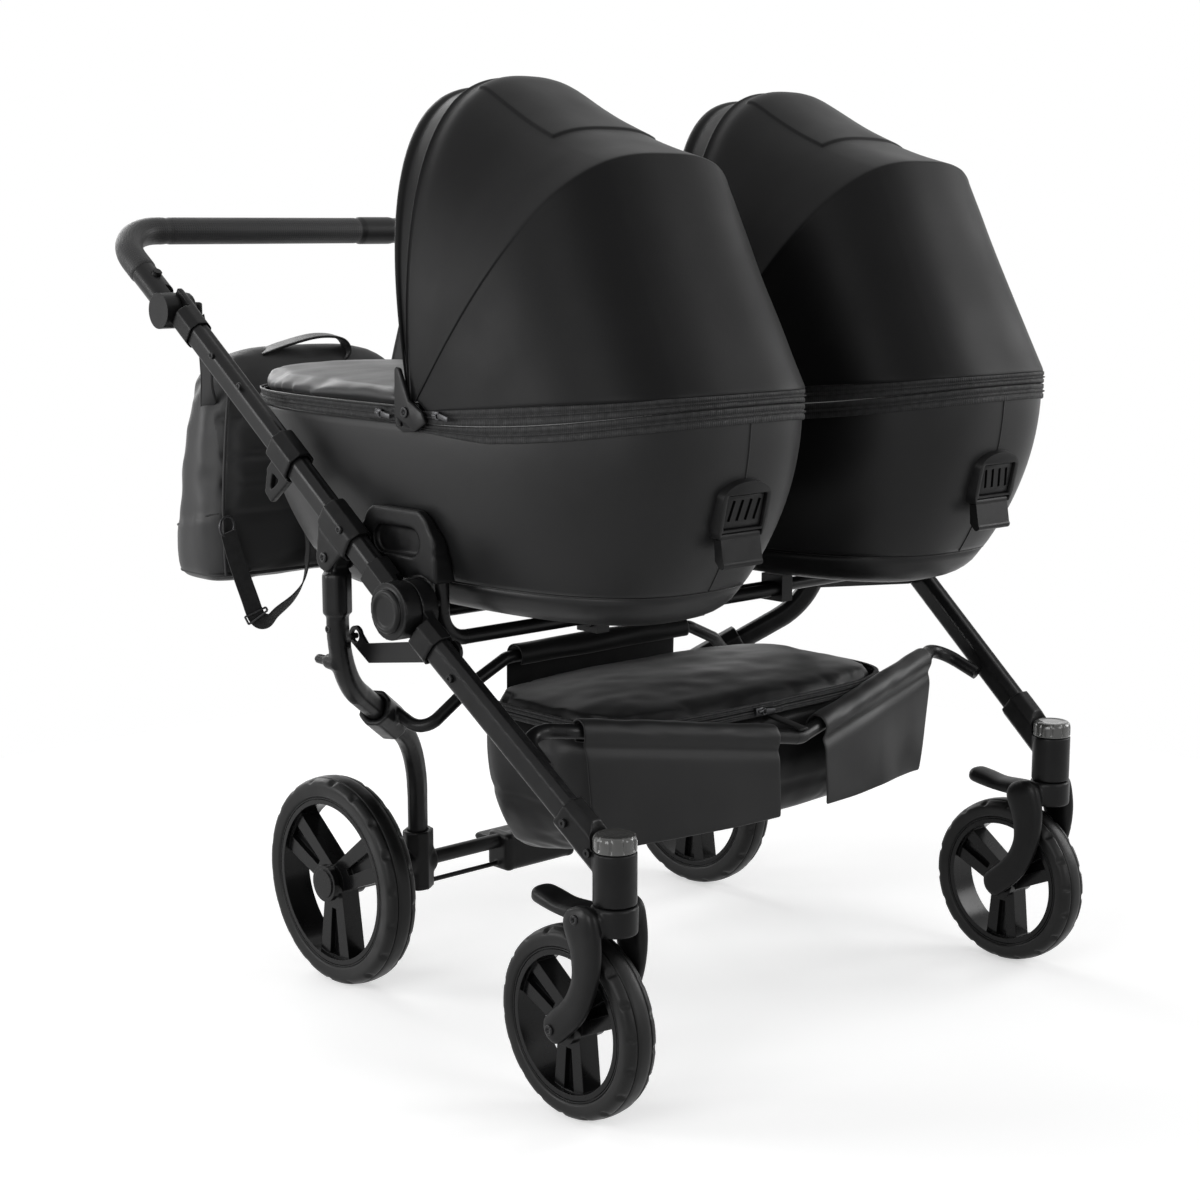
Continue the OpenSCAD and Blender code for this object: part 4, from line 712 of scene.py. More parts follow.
cover_leather = leather("cover_leather", (0.019, 0.0195), (0.028, 0.0287), 0.34, 0.46, 800, 0.00015, 0.2)
cover = sew_up(cloth_grid("foot_cover", 150, len(cover_levels) - 1, cover_place))
plump(cover, 0.006, 3.0, 0.004)
for v in cover.data.vertices:
    if v.co.z > 0.712:
        edge = min(1.0, max(0.0, (0.7295 - v.co.z) / 0.012))
        crease = noise.noise((v.co.x * 9, v.co.y * 26, 3.1)) + 0.6 * noise.noise((v.co.x * 24, v.co.y * 14, 8.7))
        v.co.z += 0.0016 * crease * (0.35 + edge)
refine(cover)
for p in pair(dress(cover, cover_leather), "foot_cover", "leatherette", "cot_*", "cot_apron_*"):
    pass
side_angles = [a for a in even_angles(300, cot_half_l, cot_half_w, cot_n)[:-1] if cot_point(a, 1).y > hinge_y + 0.01]
side_angles.sort(key=lambda a: (a + pi / 2) % (2 * pi))


def side_band_place(i, j):
    share, out = zip_profile[j]
    p = cot_point(side_angles[i], 1, -0.0008 - out)
    return Vector((p.x, p.y, 0.6893 + 0.0148 * share))


band = face_out(cloth_grid("cover_band", len(side_angles) - 1, len(zip_profile) - 1, side_band_place), -cot_x, cot_y)
pair(dress(band, zip_tape), "cover_band", "lining", "cot_*")
edge = [cot_point(a, 1, -0.0032) + Vector((0, 0, 0.705 - cot_point(a, 1).z)) for a in side_angles]
pair(welt("cover_welt", edge, 0.0014, smooth_leather), "cover_welt", "leatherette", "cot_*")

# Mattresses: a foam pad in woven cotton, crowned in the middle, drawn in at its edge and
# quilted in rows across. It lies loose in the tub.
pad_half_l, pad_half_w, pad_n, pad_low = 0.273, 0.117, 2.9, 0.5012
pad_levels = [(0.04, 0.0, 0), (0.04, 0.0, 0.6), (0.026, 0.0, 1), (0.021, 0.006, 1), (0.019, 0.014, 1),
              (0.025, 0.023, 1), (0.045, 0.028, 1), (0.075, 0.031, 0.9), (0.09, 0.0325, 0.5), (0.09, 0.0325, 0)]
pad_angles = even_angles(120, pad_half_l, pad_half_w, pad_n)


def pad_place(i, j):
    inset, z, scale = pad_levels[j]
    x, y = oval(pad_angles[i], pad_half_w - inset, pad_half_l - inset, pad_n)
    return Vector((x * scale - cot_x, y * scale + cot_y, pad_low + z))


pad = sew_up(cloth_grid("mattress", 120, len(pad_levels) - 1, pad_place))
plump(pad, 0.007, 3.0, 0.003)
for v in pad.data.vertices:
    if v.co.z > 0.52:
        row = abs(((v.co.y + 0.5) / 0.055) % 1 - 0.5) * 2
        v.co.z -= 0.004 * max(0.0, 1 - row * 5)
    v.co.z = max(v.co.z, 0.5008)
refine(pad)
for p in pair(dress(pad, cot_lining), "mattress", "lining", "cot_*", "cot_mattress_*"):
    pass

# Head-end latch: a nylon housing screwed over the seam, with a ribbed window and a paddle
# under it. Plugs at the sides and hinge lugs at the rim are moulded in the same nylon.
latch_y, latch_z, latch_lean = -0.4225, 0.606, 12


def carve(piece, *cutters):
    for c in cutters:
        work(piece, "BOOLEAN", operation="DIFFERENCE", solver="EXACT", object=c)
        bpy.data.objects.remove(c)
    return piece


def thicken(x, y):
    """Draws the active flat outline out into a closed plate."""
    bpy.ops.object.mode_set(mode="EDIT")
    bpy.ops.mesh.select_all(action="SELECT")
    bpy.ops.mesh.extrude_region_move(TRANSFORM_OT_translate={"value": (x, y, 0)})
    bpy.ops.mesh.select_all(action="SELECT")
    bpy.ops.mesh.normals_make_consistent(inside=False)
    bpy.ops.object.mode_set(mode="OBJECT")


bpy.ops.object.select_all(action="DESELECT")
bpy.ops.mesh.primitive_circle_add(vertices=40, radius=0.037, fill_type="NGON", rotation=(pi / 2, 0, 0))
housing = bpy.context.object
bpy.ops.object.transform_apply(location=True, rotation=True, scale=True)
for v in housing.data.vertices:
    v.co.z = max(v.co.z * 0.52 + 0.0245, 0.0245) if v.co.z >= 0 else -0.02 if v.co.z < -0.02 else v.co.z
    v.co.y = 0.008
thicken(0, -0.026)
for v in housing.data.vertices:
    if v.co.y < 0:
        v.co.x *= 0.93
        v.co.z = 0.004 + (v.co.z - 0.004) * 0.94
carve(housing, block("window", (0.056, 0.012, 0.036), (0, -0.019, 0.01), 0.002),
      block("mouth", (0.058, 0.03, 0.02), (0, -0.018, -0.0205), 0.001))
work(housing, "BEVEL", width=0.0016, segments=2, limit_method="ANGLE", angle_limit=radians(40))
plate = block("ribbed_plate", (0.053, 0.004, 0.034), (0, -0.0135, 0.0095), 0.0012)
carve(plate, *[block("slot", (0.0042, 0.012, 0.022), (x, -0.0135, 0.011), 0.0004, (0, 12, 0))
               for x in (-0.018, -0.006, 0.006, 0.018)])
latch = dress(join("latch_housing", [housing, plate]), joint_nylon)
latch.data.transform(Matrix.Translation((-cot_x, latch_y, latch_z)) @ Matrix.Rotation(radians(latch_lean), 4, "X"))
pick(latch)
bpy.ops.object.shade_smooth_by_angle(angle=radians(35))
pair(latch, "latch_housing", "joint_plastic", "cot_*")
lug = (0.013, 0.018, 0.045)
plugs = join("cot_plugs", [block("side_plug", (0.05, 0.048, 0.024), (-0.331, -0.094, 0.5565), 0.002),
                           block("inner_plug", (0.05, 0.048, 0.026), (-0.0335, -0.132, 0.5155), 0.002),
                           block("lug_near", lug, (-near_side + 0.0075, hinge_y, cot_rim), 0.003),
                           block("lug_far", lug, (-cot_x + cot_half_w - 0.0075, hinge_y, cot_rim), 0.003)])
pair(dress(plugs, joint_nylon), "cot_plugs", "joint_plastic", "cot_*")

# Hoods: leatherette gores sewn over a middle hoop and a front bow, lined with cloth. The front
# has a raised piping, a woven visor strip and a bound rim, and the top a perforated vent patch.
hoop_at, bow_at = 51.5, 94.5
skirt_reach, hoop_reach, bow_reach, hood_half_w = 0.336, 0.333, 0.3455, 0.1685
vent_from, vent_to = radians(72), radians(108)
vent_back, vent_front = 67.5, 91.7


def chord(fa, ra, fb, rb, f):
    return ra * rb * sin(radians(fb - fa)) / (ra * sin(radians(f - fa)) + rb * sin(radians(fb - f)))


def hood_reach(f):
    if f >= 90:
        return bow_reach
    if f >= hoop_at:
        return chord(hoop_at, hoop_reach, 90, bow_reach, f) - 0.008 * sin(pi * (f - hoop_at) / (90 - hoop_at))
    return chord(0, skirt_reach, hoop_at, hoop_reach, f) - 0.002 * sin(pi * f / hoop_at)


def hood_point(f, angle, out=0.0):
    n = 3.5 - min(f, 90) / 90
    reach = (hood_reach(f) + out) * sin(angle) ** (2 / n)
    return Vector(((hood_half_w + out) * spow(cos(angle), 2 / n) - cot_x, hinge_y - reach * cos(radians(f)),
                   hinge_z + reach * sin(radians(f))))


hood_steps = [5, 6.5, 8.5] + [10 + 2.6 * k for k in range(16)] + [50.4, 51.1, 51.4, 51.7, 52.6]
hood_steps += [54.4 + 2.2 * k for k in range(6)] + [67.1, 67.4, 67.7, 68.2] + [70 + 2.2 * k for k in range(10)]
hood_steps += [91.2, 91.5, 91.8, 92.1, 93.2, 93.9, 94.2, 94.5, 94.8, 95.2, 96, 97.5, 99, 100.4, 100.9]
hood_steps += [101.3, 102.2, 103, 103.3]
bow_angles = even_angles(192, bow_reach, hood_half_w, 2.6)[:97]
bow_angles[0], bow_angles[-1] = radians(1), radians(179)
for edge in (vent_from, vent_to):
    bow_angles = [a for a in bow_angles if abs(a - edge) > 0.022]
    bow_angles += [edge - 0.012, edge - 0.004, edge + 0.004, edge + 0.012]
bow_angles.sort()


def hood_place(i, j):
    f, angle = hood_steps[j], bow_angles[i]
    out = 0.0
    if hoop_at <= f < 93:
        out += 0.0016 * exp((hoop_at - f) / 5)
    out += 0.0026 * max(0.0, 1 - ((f - bow_at) / 0.65) ** 2)
    if f > 95:
        out -= 0.0028 if f < 101 else 0.0028 - 0.0045 * min(1.0, (f - 101) / 0.4)
    if f > 103.1:
        out -= 0.003
    p = hood_point(f, angle, out)
    slack = sin(angle) * min(1.0, abs(f - hoop_at) / 8) * min(1.0, max(0.0, (bow_at - f) / 8))
    ripple = 0.0013 * noise.noise((p.x * 5, f * 0.07, 2.3)) + 0.0004 * noise.noise((p.x * 19, f * 0.2, 5.1))
    vent = vent_from < angle < vent_to and vent_back < f < vent_front
    return p + (p - Vector((-cot_x, hinge_y, hinge_z))).normalized() * (ripple * slack + 0.0024 * vent)


def perforate(material, across, along, depth):
    """Rows of small punched holes on a piece's own flat pattern."""
    tree = material.node_tree
    normal = tree.nodes["Principled BSDF"].inputs["Normal"]
    flat = shader_node(tree, "TexCoord")
    pitch = shader_node(tree, "Mapping", Scale=(across, along, 1))
    holes = shader_node(tree, "TexVoronoi", Randomness=0, Scale=1.0)
    punch = shader_node(tree, "ValToRGB")
    punch.color_ramp.elements[0].position = 0.24
    punch.color_ramp.elements[1].position = 0.3
    relief = shader_node(tree, "Bump", Distance=depth)
    wire(tree, (flat.outputs["UV"], pitch.inputs["Vector"]), (pitch.outputs["Vector"], holes.inputs["Vector"]),
         (holes.outputs["Distance"], punch.inputs["Fac"]), (punch.outputs["Color"], relief.inputs["Height"]),
         (normal.links[0].from_socket, relief.inputs["Normal"]), (relief.outputs["Normal"], normal))


hood_leather = leather("hood_leather", (0.0026, 0.0028), (0.0044, 0.0046), 0.42, 0.5, 900, 0.00015, 0.09)
visor_cloth = woven("visor_cloth", (0.02, 0.0205), (0.075, 0.077), 700)
vent_leather = leather("vent_leather", (0.0034, 0.0036), (0.0052, 0.0054), 0.46, 0.54, 900, 0.00015, 0.07)
perforate(vent_leather, 200, 150, 0.0012)
hood = cloth_grid("hood", len(bow_angles) - 1, len(hood_steps) - 1, hood_place)
if max(hood.data.polygons, key=lambda face: face.center.z).normal.z < 0:
    hood.data.flip_normals()
for face in hood.data.polygons:
    f = hood_steps[min(face.vertices) // len(bow_angles)]
    angle = bow_angles[min(face.vertices) % len(bow_angles)]
    on_vent = vent_back < f < vent_front - 0.3 and vent_from < angle < vent_to - 0.005
    face.material_index = 1 if 95 < f < 100.9 else 2 if on_vent else 0
dress(hood, hood_leather, visor_cloth, vent_leather, cot_lining, cot_lining, cot_lining)
work(hood, "SOLIDIFY", thickness=0.003, offset=-1, use_rim=True, material_offset=3, use_quality_normals=True)
refine(hood)
hood_twin = other_side(hood, "hood_left")
hood.name = "hood_right"
for p, side in ((hood, "right"), (hood_twin, "left")):
    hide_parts("hood_fabric_" + side)
    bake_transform(p)

# Hood hinge plates: moulded nylon shields at both ends of the bow, with a hole for the stop. A
# pivot screw holds the outer one on the cot's lug. The bow itself is hidden in the bound rim.
shield = [(-0.0335, -0.0095), (-0.0275, 0.002), (-0.006, 0.0125), (0.0095, 0.045), (0.015, 0.047), (0.0175, 0.044),
          (0.0185, -0.003), (0.0165, -0.0155), (0.005, -0.021), (-0.0165, -0.019)]


def hex_screw(name, place, radius, height):
    """A cap screw that faces away from the right-hand side: a domed head with a hexagon socket."""
    head = rod(radius, height, (0, 0, height / 2), 28, False, height * 0.35)
    carve(head, rod(radius * 0.52, height * 1.4, (0, 0, height * 1.05), 6, False))
    head.data.transform(Matrix.Translation(place) @ Matrix.Rotation(-pi / 2, 4, "Y"))
    head.name = name
    return dress(head, screw_black)


plates = []
for x in (-near_side - 0.0098, -cot_x + cot_half_w + 0.0048):
    bpy.ops.object.select_all(action="DESELECT")
    bpy.ops.mesh.primitive_circle_add(vertices=len(shield), radius=0.01, fill_type="NGON")
    one = bpy.context.object
    for v, (y, z) in zip(one.data.vertices, shield):
        v.co = (0, y, z)
    thicken(0.005, 0)
    work(one, "BEVEL", width=0.0016, segments=3, limit_method="ANGLE", angle_limit=radians(20))
    one.data.transform(Matrix.Translation((x, hinge_y, hinge_z)))
    plates.append(carve(one, rod(0.0026, 0.03, (x, hinge_y + 0.006, hinge_z - 0.0125), 24)))
plates = dress(join("hood_plates", plates), joint_nylon)
pair(plates, "hood_plates", "joint_plastic", "hood_*", "hood_bow_*")
pivot_screw = hex_screw("hood_pivot", (-near_side - 0.0096, hinge_y, hinge_z), 0.0058, 0.0022)
pair(pivot_screw, "hood_pivot", "screw_steel", "hood_*")

# Disc covers and cap screws: ringed covers on the knuckles and the handle joints, and socket
# screws at the forks' knees and axles, the leg brackets, the upper tubes and the leg sockets.
disc_side = [(0, 0.0016), (0.6, 0.0016), (0.7, 0.0018), (0.76, 0.003), (0.82, 0.0034), (0.9, 0.0032), (0.97, 0.0022),
              (1, 0.0006), (1, -0.003)]


def disc_place(i, j):
    r, out = disc_side[j]
    angle = 2 * pi * i / 72
    return Vector((-out, disc_r * r * cos(angle), disc_r * r * sin(angle)))


for name, place, disc_r in (("knuckle_cover", (-0.4158, -0.1335, 0.496), 0.0235),
                            ("joint_cover", (-0.4072, 0.3018, 0.7932), 0.018)):
    disc = dress(sew_up(cloth_grid(name, 72, len(disc_side) - 1, disc_place)), joint_nylon)
    disc.data.transform(Matrix.Translation(place))
    pair(disc, name, "joint_plastic", "upper_frame")
for name, body, place, radius in (("knee_screw", "fork_*", (-0.3955, -0.403, 0.2245), 0.0052),
                                  ("axle_screw", "fork_*", (-0.3942, *front_axle_yz), 0.0056),
                                  ("bracket_screw_front", "upper_frame", (-0.4075, -0.0426, 0.572), 0.0048),
                                  ("bracket_screw_pivot", "upper_frame", (-0.4075, -0.0132, 0.5389), 0.0056),
                                  ("tube_screw_high", "upper_frame", (-0.4031, 0.2031, 0.7454), 0.004),
                                  ("tube_screw_low", "upper_frame", (-0.4031, 0.1488, 0.714), 0.004),
                                  ("leg_screw_high", "rear_legs", (-0.4032, -0.0132, 0.5066), 0.0046),
                                  ("leg_screw_low", "rear_legs", (-0.4032, -0.0132, 0.4596), 0.0046)):
    pair(hex_screw(name, place, radius, 0.003), name, "screw_steel", body)

# Handle cover: perforated leatherette sewn round the bent bar, with a plain collar in the
# middle and ring seams at the collar and past each bend. It turns with the handle.
grip_r, bend_r, collar_half, seam_at = 0.0165, 0.062, 0.028, (0.0285, 0.318)
arm = Vector((0, 0.8268, 0.5625))
pivot = Vector((-0.392, 0.3018, 0.7932))
bar_corner = pivot + arm * 0.162
bar_up = Vector((0, -arm.z, arm.y))


def rounded_path(points, radius, arc=14, step=0.004):
    """Straight runs joined by arcs, as evenly spaced points."""
    raw = [points[0]]
    for before, corner, after in zip(points, points[1:], points[2:]):
        u, v = (before - corner).normalized(), (after - corner).normalized()
        half = u.angle(v) / 2
        back = min(radius / tan(half), 0.95 * (before - corner).length, 0.95 * (after - corner).length)
        r = back * tan(half)
        centre = corner + (u + v).normalized() * (r / sin(half))
        a, b = corner + u * back - centre, corner + v * back - centre
        turn = a.angle(b)
        raw += [centre + (a * sin(turn * (1 - k / arc)) + b * sin(turn * k / arc)) / sin(turn) for k in range(arc + 1)]
    raw.append(points[-1])
    run, even = 0.0, [raw[0]]
    for p, q in zip(raw, raw[1:]):
        length = (q - p).length
        while length > 0 and run + length >= step * len(even):
            even.append(p.lerp(q, (step * len(even) - run) / length))
        run += length
    return even


grip_line = rounded_path([pivot + arm * 0.0745, bar_corner, Vector((-bar_corner.x, bar_corner.y, bar_corner.z)),
                          Vector((-pivot.x, pivot.y, pivot.z)) + arm * 0.0745], bend_r)
grip_rings = [(0, 0.0115)] + [(k, grip_r) for k in range(len(grip_line))] + [(len(grip_line) - 1, 0.0115)]


def grip_place(i, j):
    k, r = grip_rings[j]
    p = grip_line[k]
    t = (grip_line[min(k + 1, len(grip_line) - 1)] - grip_line[max(k - 1, 0)]).normalized()
    if r == grip_r:
        r += 0.0012 if abs(p.x) < collar_half else 0
        r -= 0.0011 * sum(exp(-((abs(p.x) - x) / 0.0022) ** 2) for x in seam_at)
        r -= 0.001 if k < 1 or k > len(grip_line) - 2 else 0
    a = 2 * pi * i / 32
    return p + (bar_up * cos(a) + t.cross(bar_up) * sin(a)) * r


grip_leather = leather("grip_leather", (0.018, 0.0185), (0.027, 0.0277), 0.42, 0.54, 900, 0.0002)
perforate(grip_leather, 30, 270, 0.0008)
grip = sew_up(cloth_grid("handle_cover", 32, len(grip_rings) - 1, grip_place))
dress(grip, grip_leather, smooth_leather)
for face in grip.data.polygons:
    face.material_index = 1 if abs(face.center.x) < collar_half else 0
seat(grip, "handle", "grip_wrap", "handle_grip")

# Shopping basket: a soft leatherette tub under the cots. Its walls bulge, a seam runs round
# them, and a tab ties it to the front bar.
basket_y, basket_half_l, basket_half_w, basket_n = -0.161, 0.135, 0.236, 4
basket_low, basket_top, basket_fall = 0.172, 0.352, 0.056
basket_angles = even_angles(160, basket_half_l, basket_half_w, basket_n)
basket_levels = [(0.0, 0.06, 0), (0.0, 0.06, 0.6), (0.0, 0.02, 1), (0.02, 0.008, 1)]
basket_levels += [(0.08 * k, 0, 1) for k in range(1, 12)]
basket_levels += [(0.93, 0, 1), (0.97, 0.001, 1), (0.99, 0.006, 1), (0.99, 0.06, 0.6), (0.99, 0.06, 0)]


def basket_place(i, j):
    t, inset, scale = basket_levels[j]
    k = (1 - t) ** 2
    swell = 0.007 * sin(pi * min(t, 1))
    x, y = oval(basket_angles[i], basket_half_w - 0.034 * k - inset + swell,
                basket_half_l - 0.026 * k - inset + swell * 0.5, basket_n)
    y *= scale
    low = basket_low + 0.004 + basket_fall * (0.5 - y / 2 / basket_half_l)
    return Vector((x * scale, y + basket_y, low + (basket_top - 0.0005 - low) * t))


basket_leather = leather("basket_leather", (0.006, 0.0062), (0.0095, 0.0098), 0.36, 0.46, 900, 0.00015, 0.1)
basket = sew_up(cloth_grid("basket", 160, len(basket_levels) - 1, basket_place))
plump(basket, 0.007, 2.0, 0.004)
for v in basket.data.vertices:
    side = Vector((v.co.x / basket_half_w, (v.co.y - basket_y) / basket_half_l, 0))
    if side.length > 0.8 and v.co.z < 0.345:
        fold = noise.noise((v.co.x * 17, v.co.y * 17, v.co.z * 6))
        fold += 0.5 * noise.noise((v.co.x * 40, v.co.y * 40, v.co.z * 22))
        v.co += side.normalized() * 0.0028 * fold
        v.co -= side.normalized() * 0.0022 * exp(-((v.co.z - 0.262) / 0.0035) ** 2)
refine(basket)
seat(dress(basket, basket_leather), "chassis", "lining", "basket_body")
tab = block("basket_tab", (0.014, 0.05, 0.0028), (0, -0.318, 0.3445), 0.001, (8, 0, 0))
seat(dress(tab, basket_leather), "chassis", "lining")

# Basket lid: a wadded leatherette panel over the basket's mouth, with a two-row zip round its
# front and a cast pull.
lid_levels = [(0.05, 0.0, 0), (0.05, 0.0, 0.6), (0.004, 0.0, 1), (0.001, 0.003, 1), (0.002, 0.0075, 1),
              (0.012, 0.013, 1), (0.035, 0.0175, 1), (0.07, 0.0205, 1), (0.1, 0.022, 0.9),
              (0.1, 0.0225, 0.5), (0.1, 0.0225, 0)]
lid_front = [a for a in basket_angles[:-1] if sin(a) < 0.55]
lid_front.sort(key=lambda a: (a - pi / 2) % (2 * pi))


def lid_place(i, j):
    inset, z, scale = lid_levels[j]
    x, y = oval(basket_angles[i], basket_half_w - inset, basket_half_l - min(inset, 0.09), basket_n)
    return Vector((x * scale, y * scale + basket_y, basket_top + 0.001 + z))


def lid_zip_place(i, j):
    share, proud = zip_profile[j]
    x, y = oval(lid_front[i], basket_half_w + out + proud, basket_half_l + out + proud, basket_n)
    return Vector((x, y + basket_y, low + 0.007 * share))


lid = sew_up(cloth_grid("lid_panel", 160, len(lid_levels) - 1, lid_place))
plump(lid, 0.006, 3.0, 0.006)
for v in lid.data.vertices:
    if v.co.z > 0.362:
        v.co.z += (0.0018 * noise.noise((v.co.x * 11, v.co.y * 19, 6.2))
                   + 0.0009 * noise.noise((v.co.x * 30, v.co.y * 44, 1.4)))
    v.co.z = max(v.co.z, basket_top + 0.0003)
refine(lid)
seat(dress(lid, basket_leather), "chassis", "leatherette", "basket_lid")
for row, (low, out) in enumerate(((0.3525, 0.0022), (0.3602, 0.0012))):
    tape = cloth_grid("lid_zip_%d" % row, len(lid_front) - 1, len(zip_profile) - 1, lid_zip_place)
    seat(dress(face_out(tape, 0, basket_y), zip_tape), "chassis", "lining")
pull = zip_pull("zip_pull_lid", (-0.03, basket_y - basket_half_l - 0.0035, 0.3595), 0, 10)
seat(pull, "chassis", "screw_steel")

# Flaps: two leatherette aprons rolled over the halves of the front bar, stitched under the
# roll and hanging in front of the basket.
flap_in, flap_out = Vector((-0.0348, -0.3291, 0.3362)), Vector((-0.2813, -0.2802, 0.3727))
flap_front = Vector((0, 0, 1)).cross(flap_out - flap_in).normalized()
roll_r = 0.0128
flap_rows = [(radians(a), None) for a in range(250, -1, -10)] + [(None, d) for d in (0.03, 0.07, 0.11, 0.15, 0.2)]
flap_rows += [(None, 0.25 + 0.0625 * k) for k in range(13)]


def flap_place(i, j):
    k = i / 60
    angle, down = flap_rows[j]
    p = flap_in.lerp(flap_out, k)
    if angle is not None:
        r = roll_r + 0.0012 * noise.noise((k * 9, sin(angle) * 1.5, 4.4))
        return p + flap_front * (r * cos(angle)) + Vector((0, 0, r * sin(angle)))
    drop = 0.088 + 0.044 * k
    pinch = 0.0045 * exp(-((down * drop - 0.014) / 0.006) ** 2)
    sway = 0.006 * sin(4.2 * k + 0.5) * down ** 1.5 + 0.003 * noise.noise((k * 4, down * 2, 9.1)) * down
    shift = (flap_out - flap_in).normalized() * (-0.016 * k ** 3 * down)
    return p + flap_front * (roll_r - pinch + sway) + shift + Vector((0, 0, -drop * down))


flap_leather = leather("flap_leather", (0.0065, 0.0067), (0.0095, 0.0098), 0.4, 0.5, 900, 0.00015, 0.2)
flap = cloth_grid("basket_flap", 60, len(flap_rows) - 1, flap_place)
if min(flap.data.polygons, key=lambda face: face.center.z).normal.dot(flap_front) < 0:
    flap.data.flip_normals()
work(flap, "SOLIDIFY", thickness=0.0022, offset=0, use_rim=True)
refine(flap)
for p in pair(dress(flap, flap_leather), "basket_flap", "lining", "chassis", "basket_flaps"):
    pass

# Rear sleeve: the basket's back edge, rolled over the rear bar and stitched down. It moves
# with the rear legs that carry the bar.
bar_y, bar_z, sleeve_r, sleeve_long = -0.0095, 0.393, 0.0138, 0.276
sleeve_rows = [(None, 1 - 0.1 * k) for k in range(10)] + [(radians(a), None) for a in range(0, 221, 10)]


def sleeve_place(i, j):
    x = sleeve_long * (i / 60 - 0.5)
    angle, down = sleeve_rows[j]
    r = sleeve_r
    if angle is None:
        wave = 0.0022 * noise.noise((x * 16, down * 2, 7.7)) * down
        return Vector((x, bar_y + r + wave, bar_z - 0.06 * down))
    r += 0.0012 * noise.noise((x * 18, angle, 2.2)) * min(1.0, angle)
    return Vector((x, bar_y + r * cos(angle), bar_z + r * sin(angle)))


sleeve = cloth_grid("sleeve_cloth", 60, len(sleeve_rows) - 1, sleeve_place)
if max(sleeve.data.polygons, key=lambda face: face.center.z).normal.z < 0:
    sleeve.data.flip_normals()
work(sleeve, "SOLIDIFY", thickness=0.0024, offset=0, use_rim=True)
refine(sleeve)
seat(dress(sleeve, basket_leather), "rear_legs", "lining", "basket_sleeve")

# Hanging bag: a soft pouch under the handle, with smooth side panels, a quilted matt front, a
# pocket seam low on each side, piped edges and an arched top.
bag_x, bag_y, bag_low = -0.147, 0.4065, 0.455
bag_w, bag_d, bag_h, bag_n = 0.33, 0.114, 0.285, 5
bag_cut = [(0, 0.93, 0.88), (0.03, 0.985, 0.975), (0.12, 0.995, 0.99), (0.32, 1, 1), (0.48, 0.975, 0.97),
           (0.63, 0.94, 0.92), (0.74, 0.905, 0.86), (0.84, 0.86, 0.77), (0.9, 0.8, 0.66), (0.95, 0.71, 0.53),
           (0.985, 0.56, 0.38), (1, 0.4, 0.26)]
bag_rows = [(0, 0), (0, 0.6)] + [(0.02 * k, 1) for k in range(51)] + [(1, 0.6), (1, 0)]
bag_angles = even_angles(160, bag_d / 2, bag_w / 2, bag_n)
quilt_seams = (0.537, 0.5755, 0.61, 0.656)


def bag_place(i, j):
    h, scale = bag_rows[j]
    for (h0, w0, d0), (h1, w1, d1) in zip(bag_cut, bag_cut[1:]):
        if h <= h1:
            k = (h - h0) / (h1 - h0)
            w, d = w0 + (w1 - w0) * k, d0 + (d1 - d0) * k
            break
    x, y = oval(bag_angles[i], bag_w / 2 * w, bag_d / 2 * d, bag_n)
    return Vector((bag_x + x * scale, bag_y + y * scale, bag_low + bag_h * h))


def pocket_edge(y):
    return 0.53 + 0.25 * (bag_y - bag_d / 2 + 0.05 - y)


side_leather = leather("bag_side_leather", (0.0155, 0.016), (0.026, 0.0267), 0.4, 0.5, 800, 0.00015)
front_cloth = leather("bag_front_cloth", (0.016, 0.0164), (0.022, 0.0226), 0.5, 0.62, 1200, 0.0002)
bag = sew_up(cloth_grid("bag", 160, len(bag_rows) - 1, bag_place))
plump(bag, 0.006, 2.0, 0.004)
work(bag, "SMOOTH", factor=0.5, iterations=8)
for v in bag.data.vertices:
    across, depth = (v.co.x - bag_x) / (bag_w / 2), (v.co.y - bag_y) / (bag_d / 2)
    if depth < -0.55 and abs(across) < 0.88 and v.co.z > 0.47:
        v.co.y += 0.0045 * max(exp(-((v.co.z - z) / 0.0042) ** 2) for z in quilt_seams)
    v.co.y += 0.0016 * noise.noise((v.co.x * 14, v.co.z * 14, 3.3)) * (1 if depth > 0 else -1)
    if abs(across) > 0.85:
        swell = 0.0016 * noise.noise((v.co.y * 30, v.co.z * 12, 1.9)) + 0.0028 * (v.co.z < pocket_edge(v.co.y))
        v.co.x += swell if across > 0 else -swell
    v.co.y = min(v.co.y, bag_y + bag_d / 2 + 0.002)
refine(bag)
dress(bag, side_leather, front_cloth)
for face in bag.data.polygons:
    if face.normal.y < -0.6 and abs(face.center.x - bag_x) < 0.44 * bag_w or face.normal.z > 0.55:
        face.material_index = 1
seat(bag, "upper_frame", "leatherette", "bag_body")


def on_bag(piece, slot="leatherette"):
    return seat(piece, "upper_frame", slot)


foot_oval = [oval(a, bag_w / 2 * 0.985, bag_d / 2 * 0.975, bag_n) for a in bag_angles[:-1]]
foot_line = [Vector((bag_x + x, bag_y + y, bag_low + 0.007)) for x, y in foot_oval]
on_bag(welt("bag_foot_piping", foot_line, 0.0022, front_cloth, True))
for name, way in (("near", -1), ("far", 1)):
    edge = [Vector((bag_x + way * bag_w / 2 * w * 0.93, bag_y - bag_d / 2 * d * 0.965, bag_low + bag_h * h))
            for h, w, d in bag_cut[1:9]]
    on_bag(welt("bag_edge_piping_" + name, edge, 0.0019, front_cloth))
    seam = [Vector((bag_x + way * (bag_w / 2 * (1 - abs(k / 10) ** 5) ** 0.2 + 0.001), bag_y + k * bag_d / 20,
                    pocket_edge(bag_y + k * bag_d / 20))) for k in range(-8, 9)]
    on_bag(welt("bag_pocket_piping_" + name, seam, 0.0016, smooth_leather))


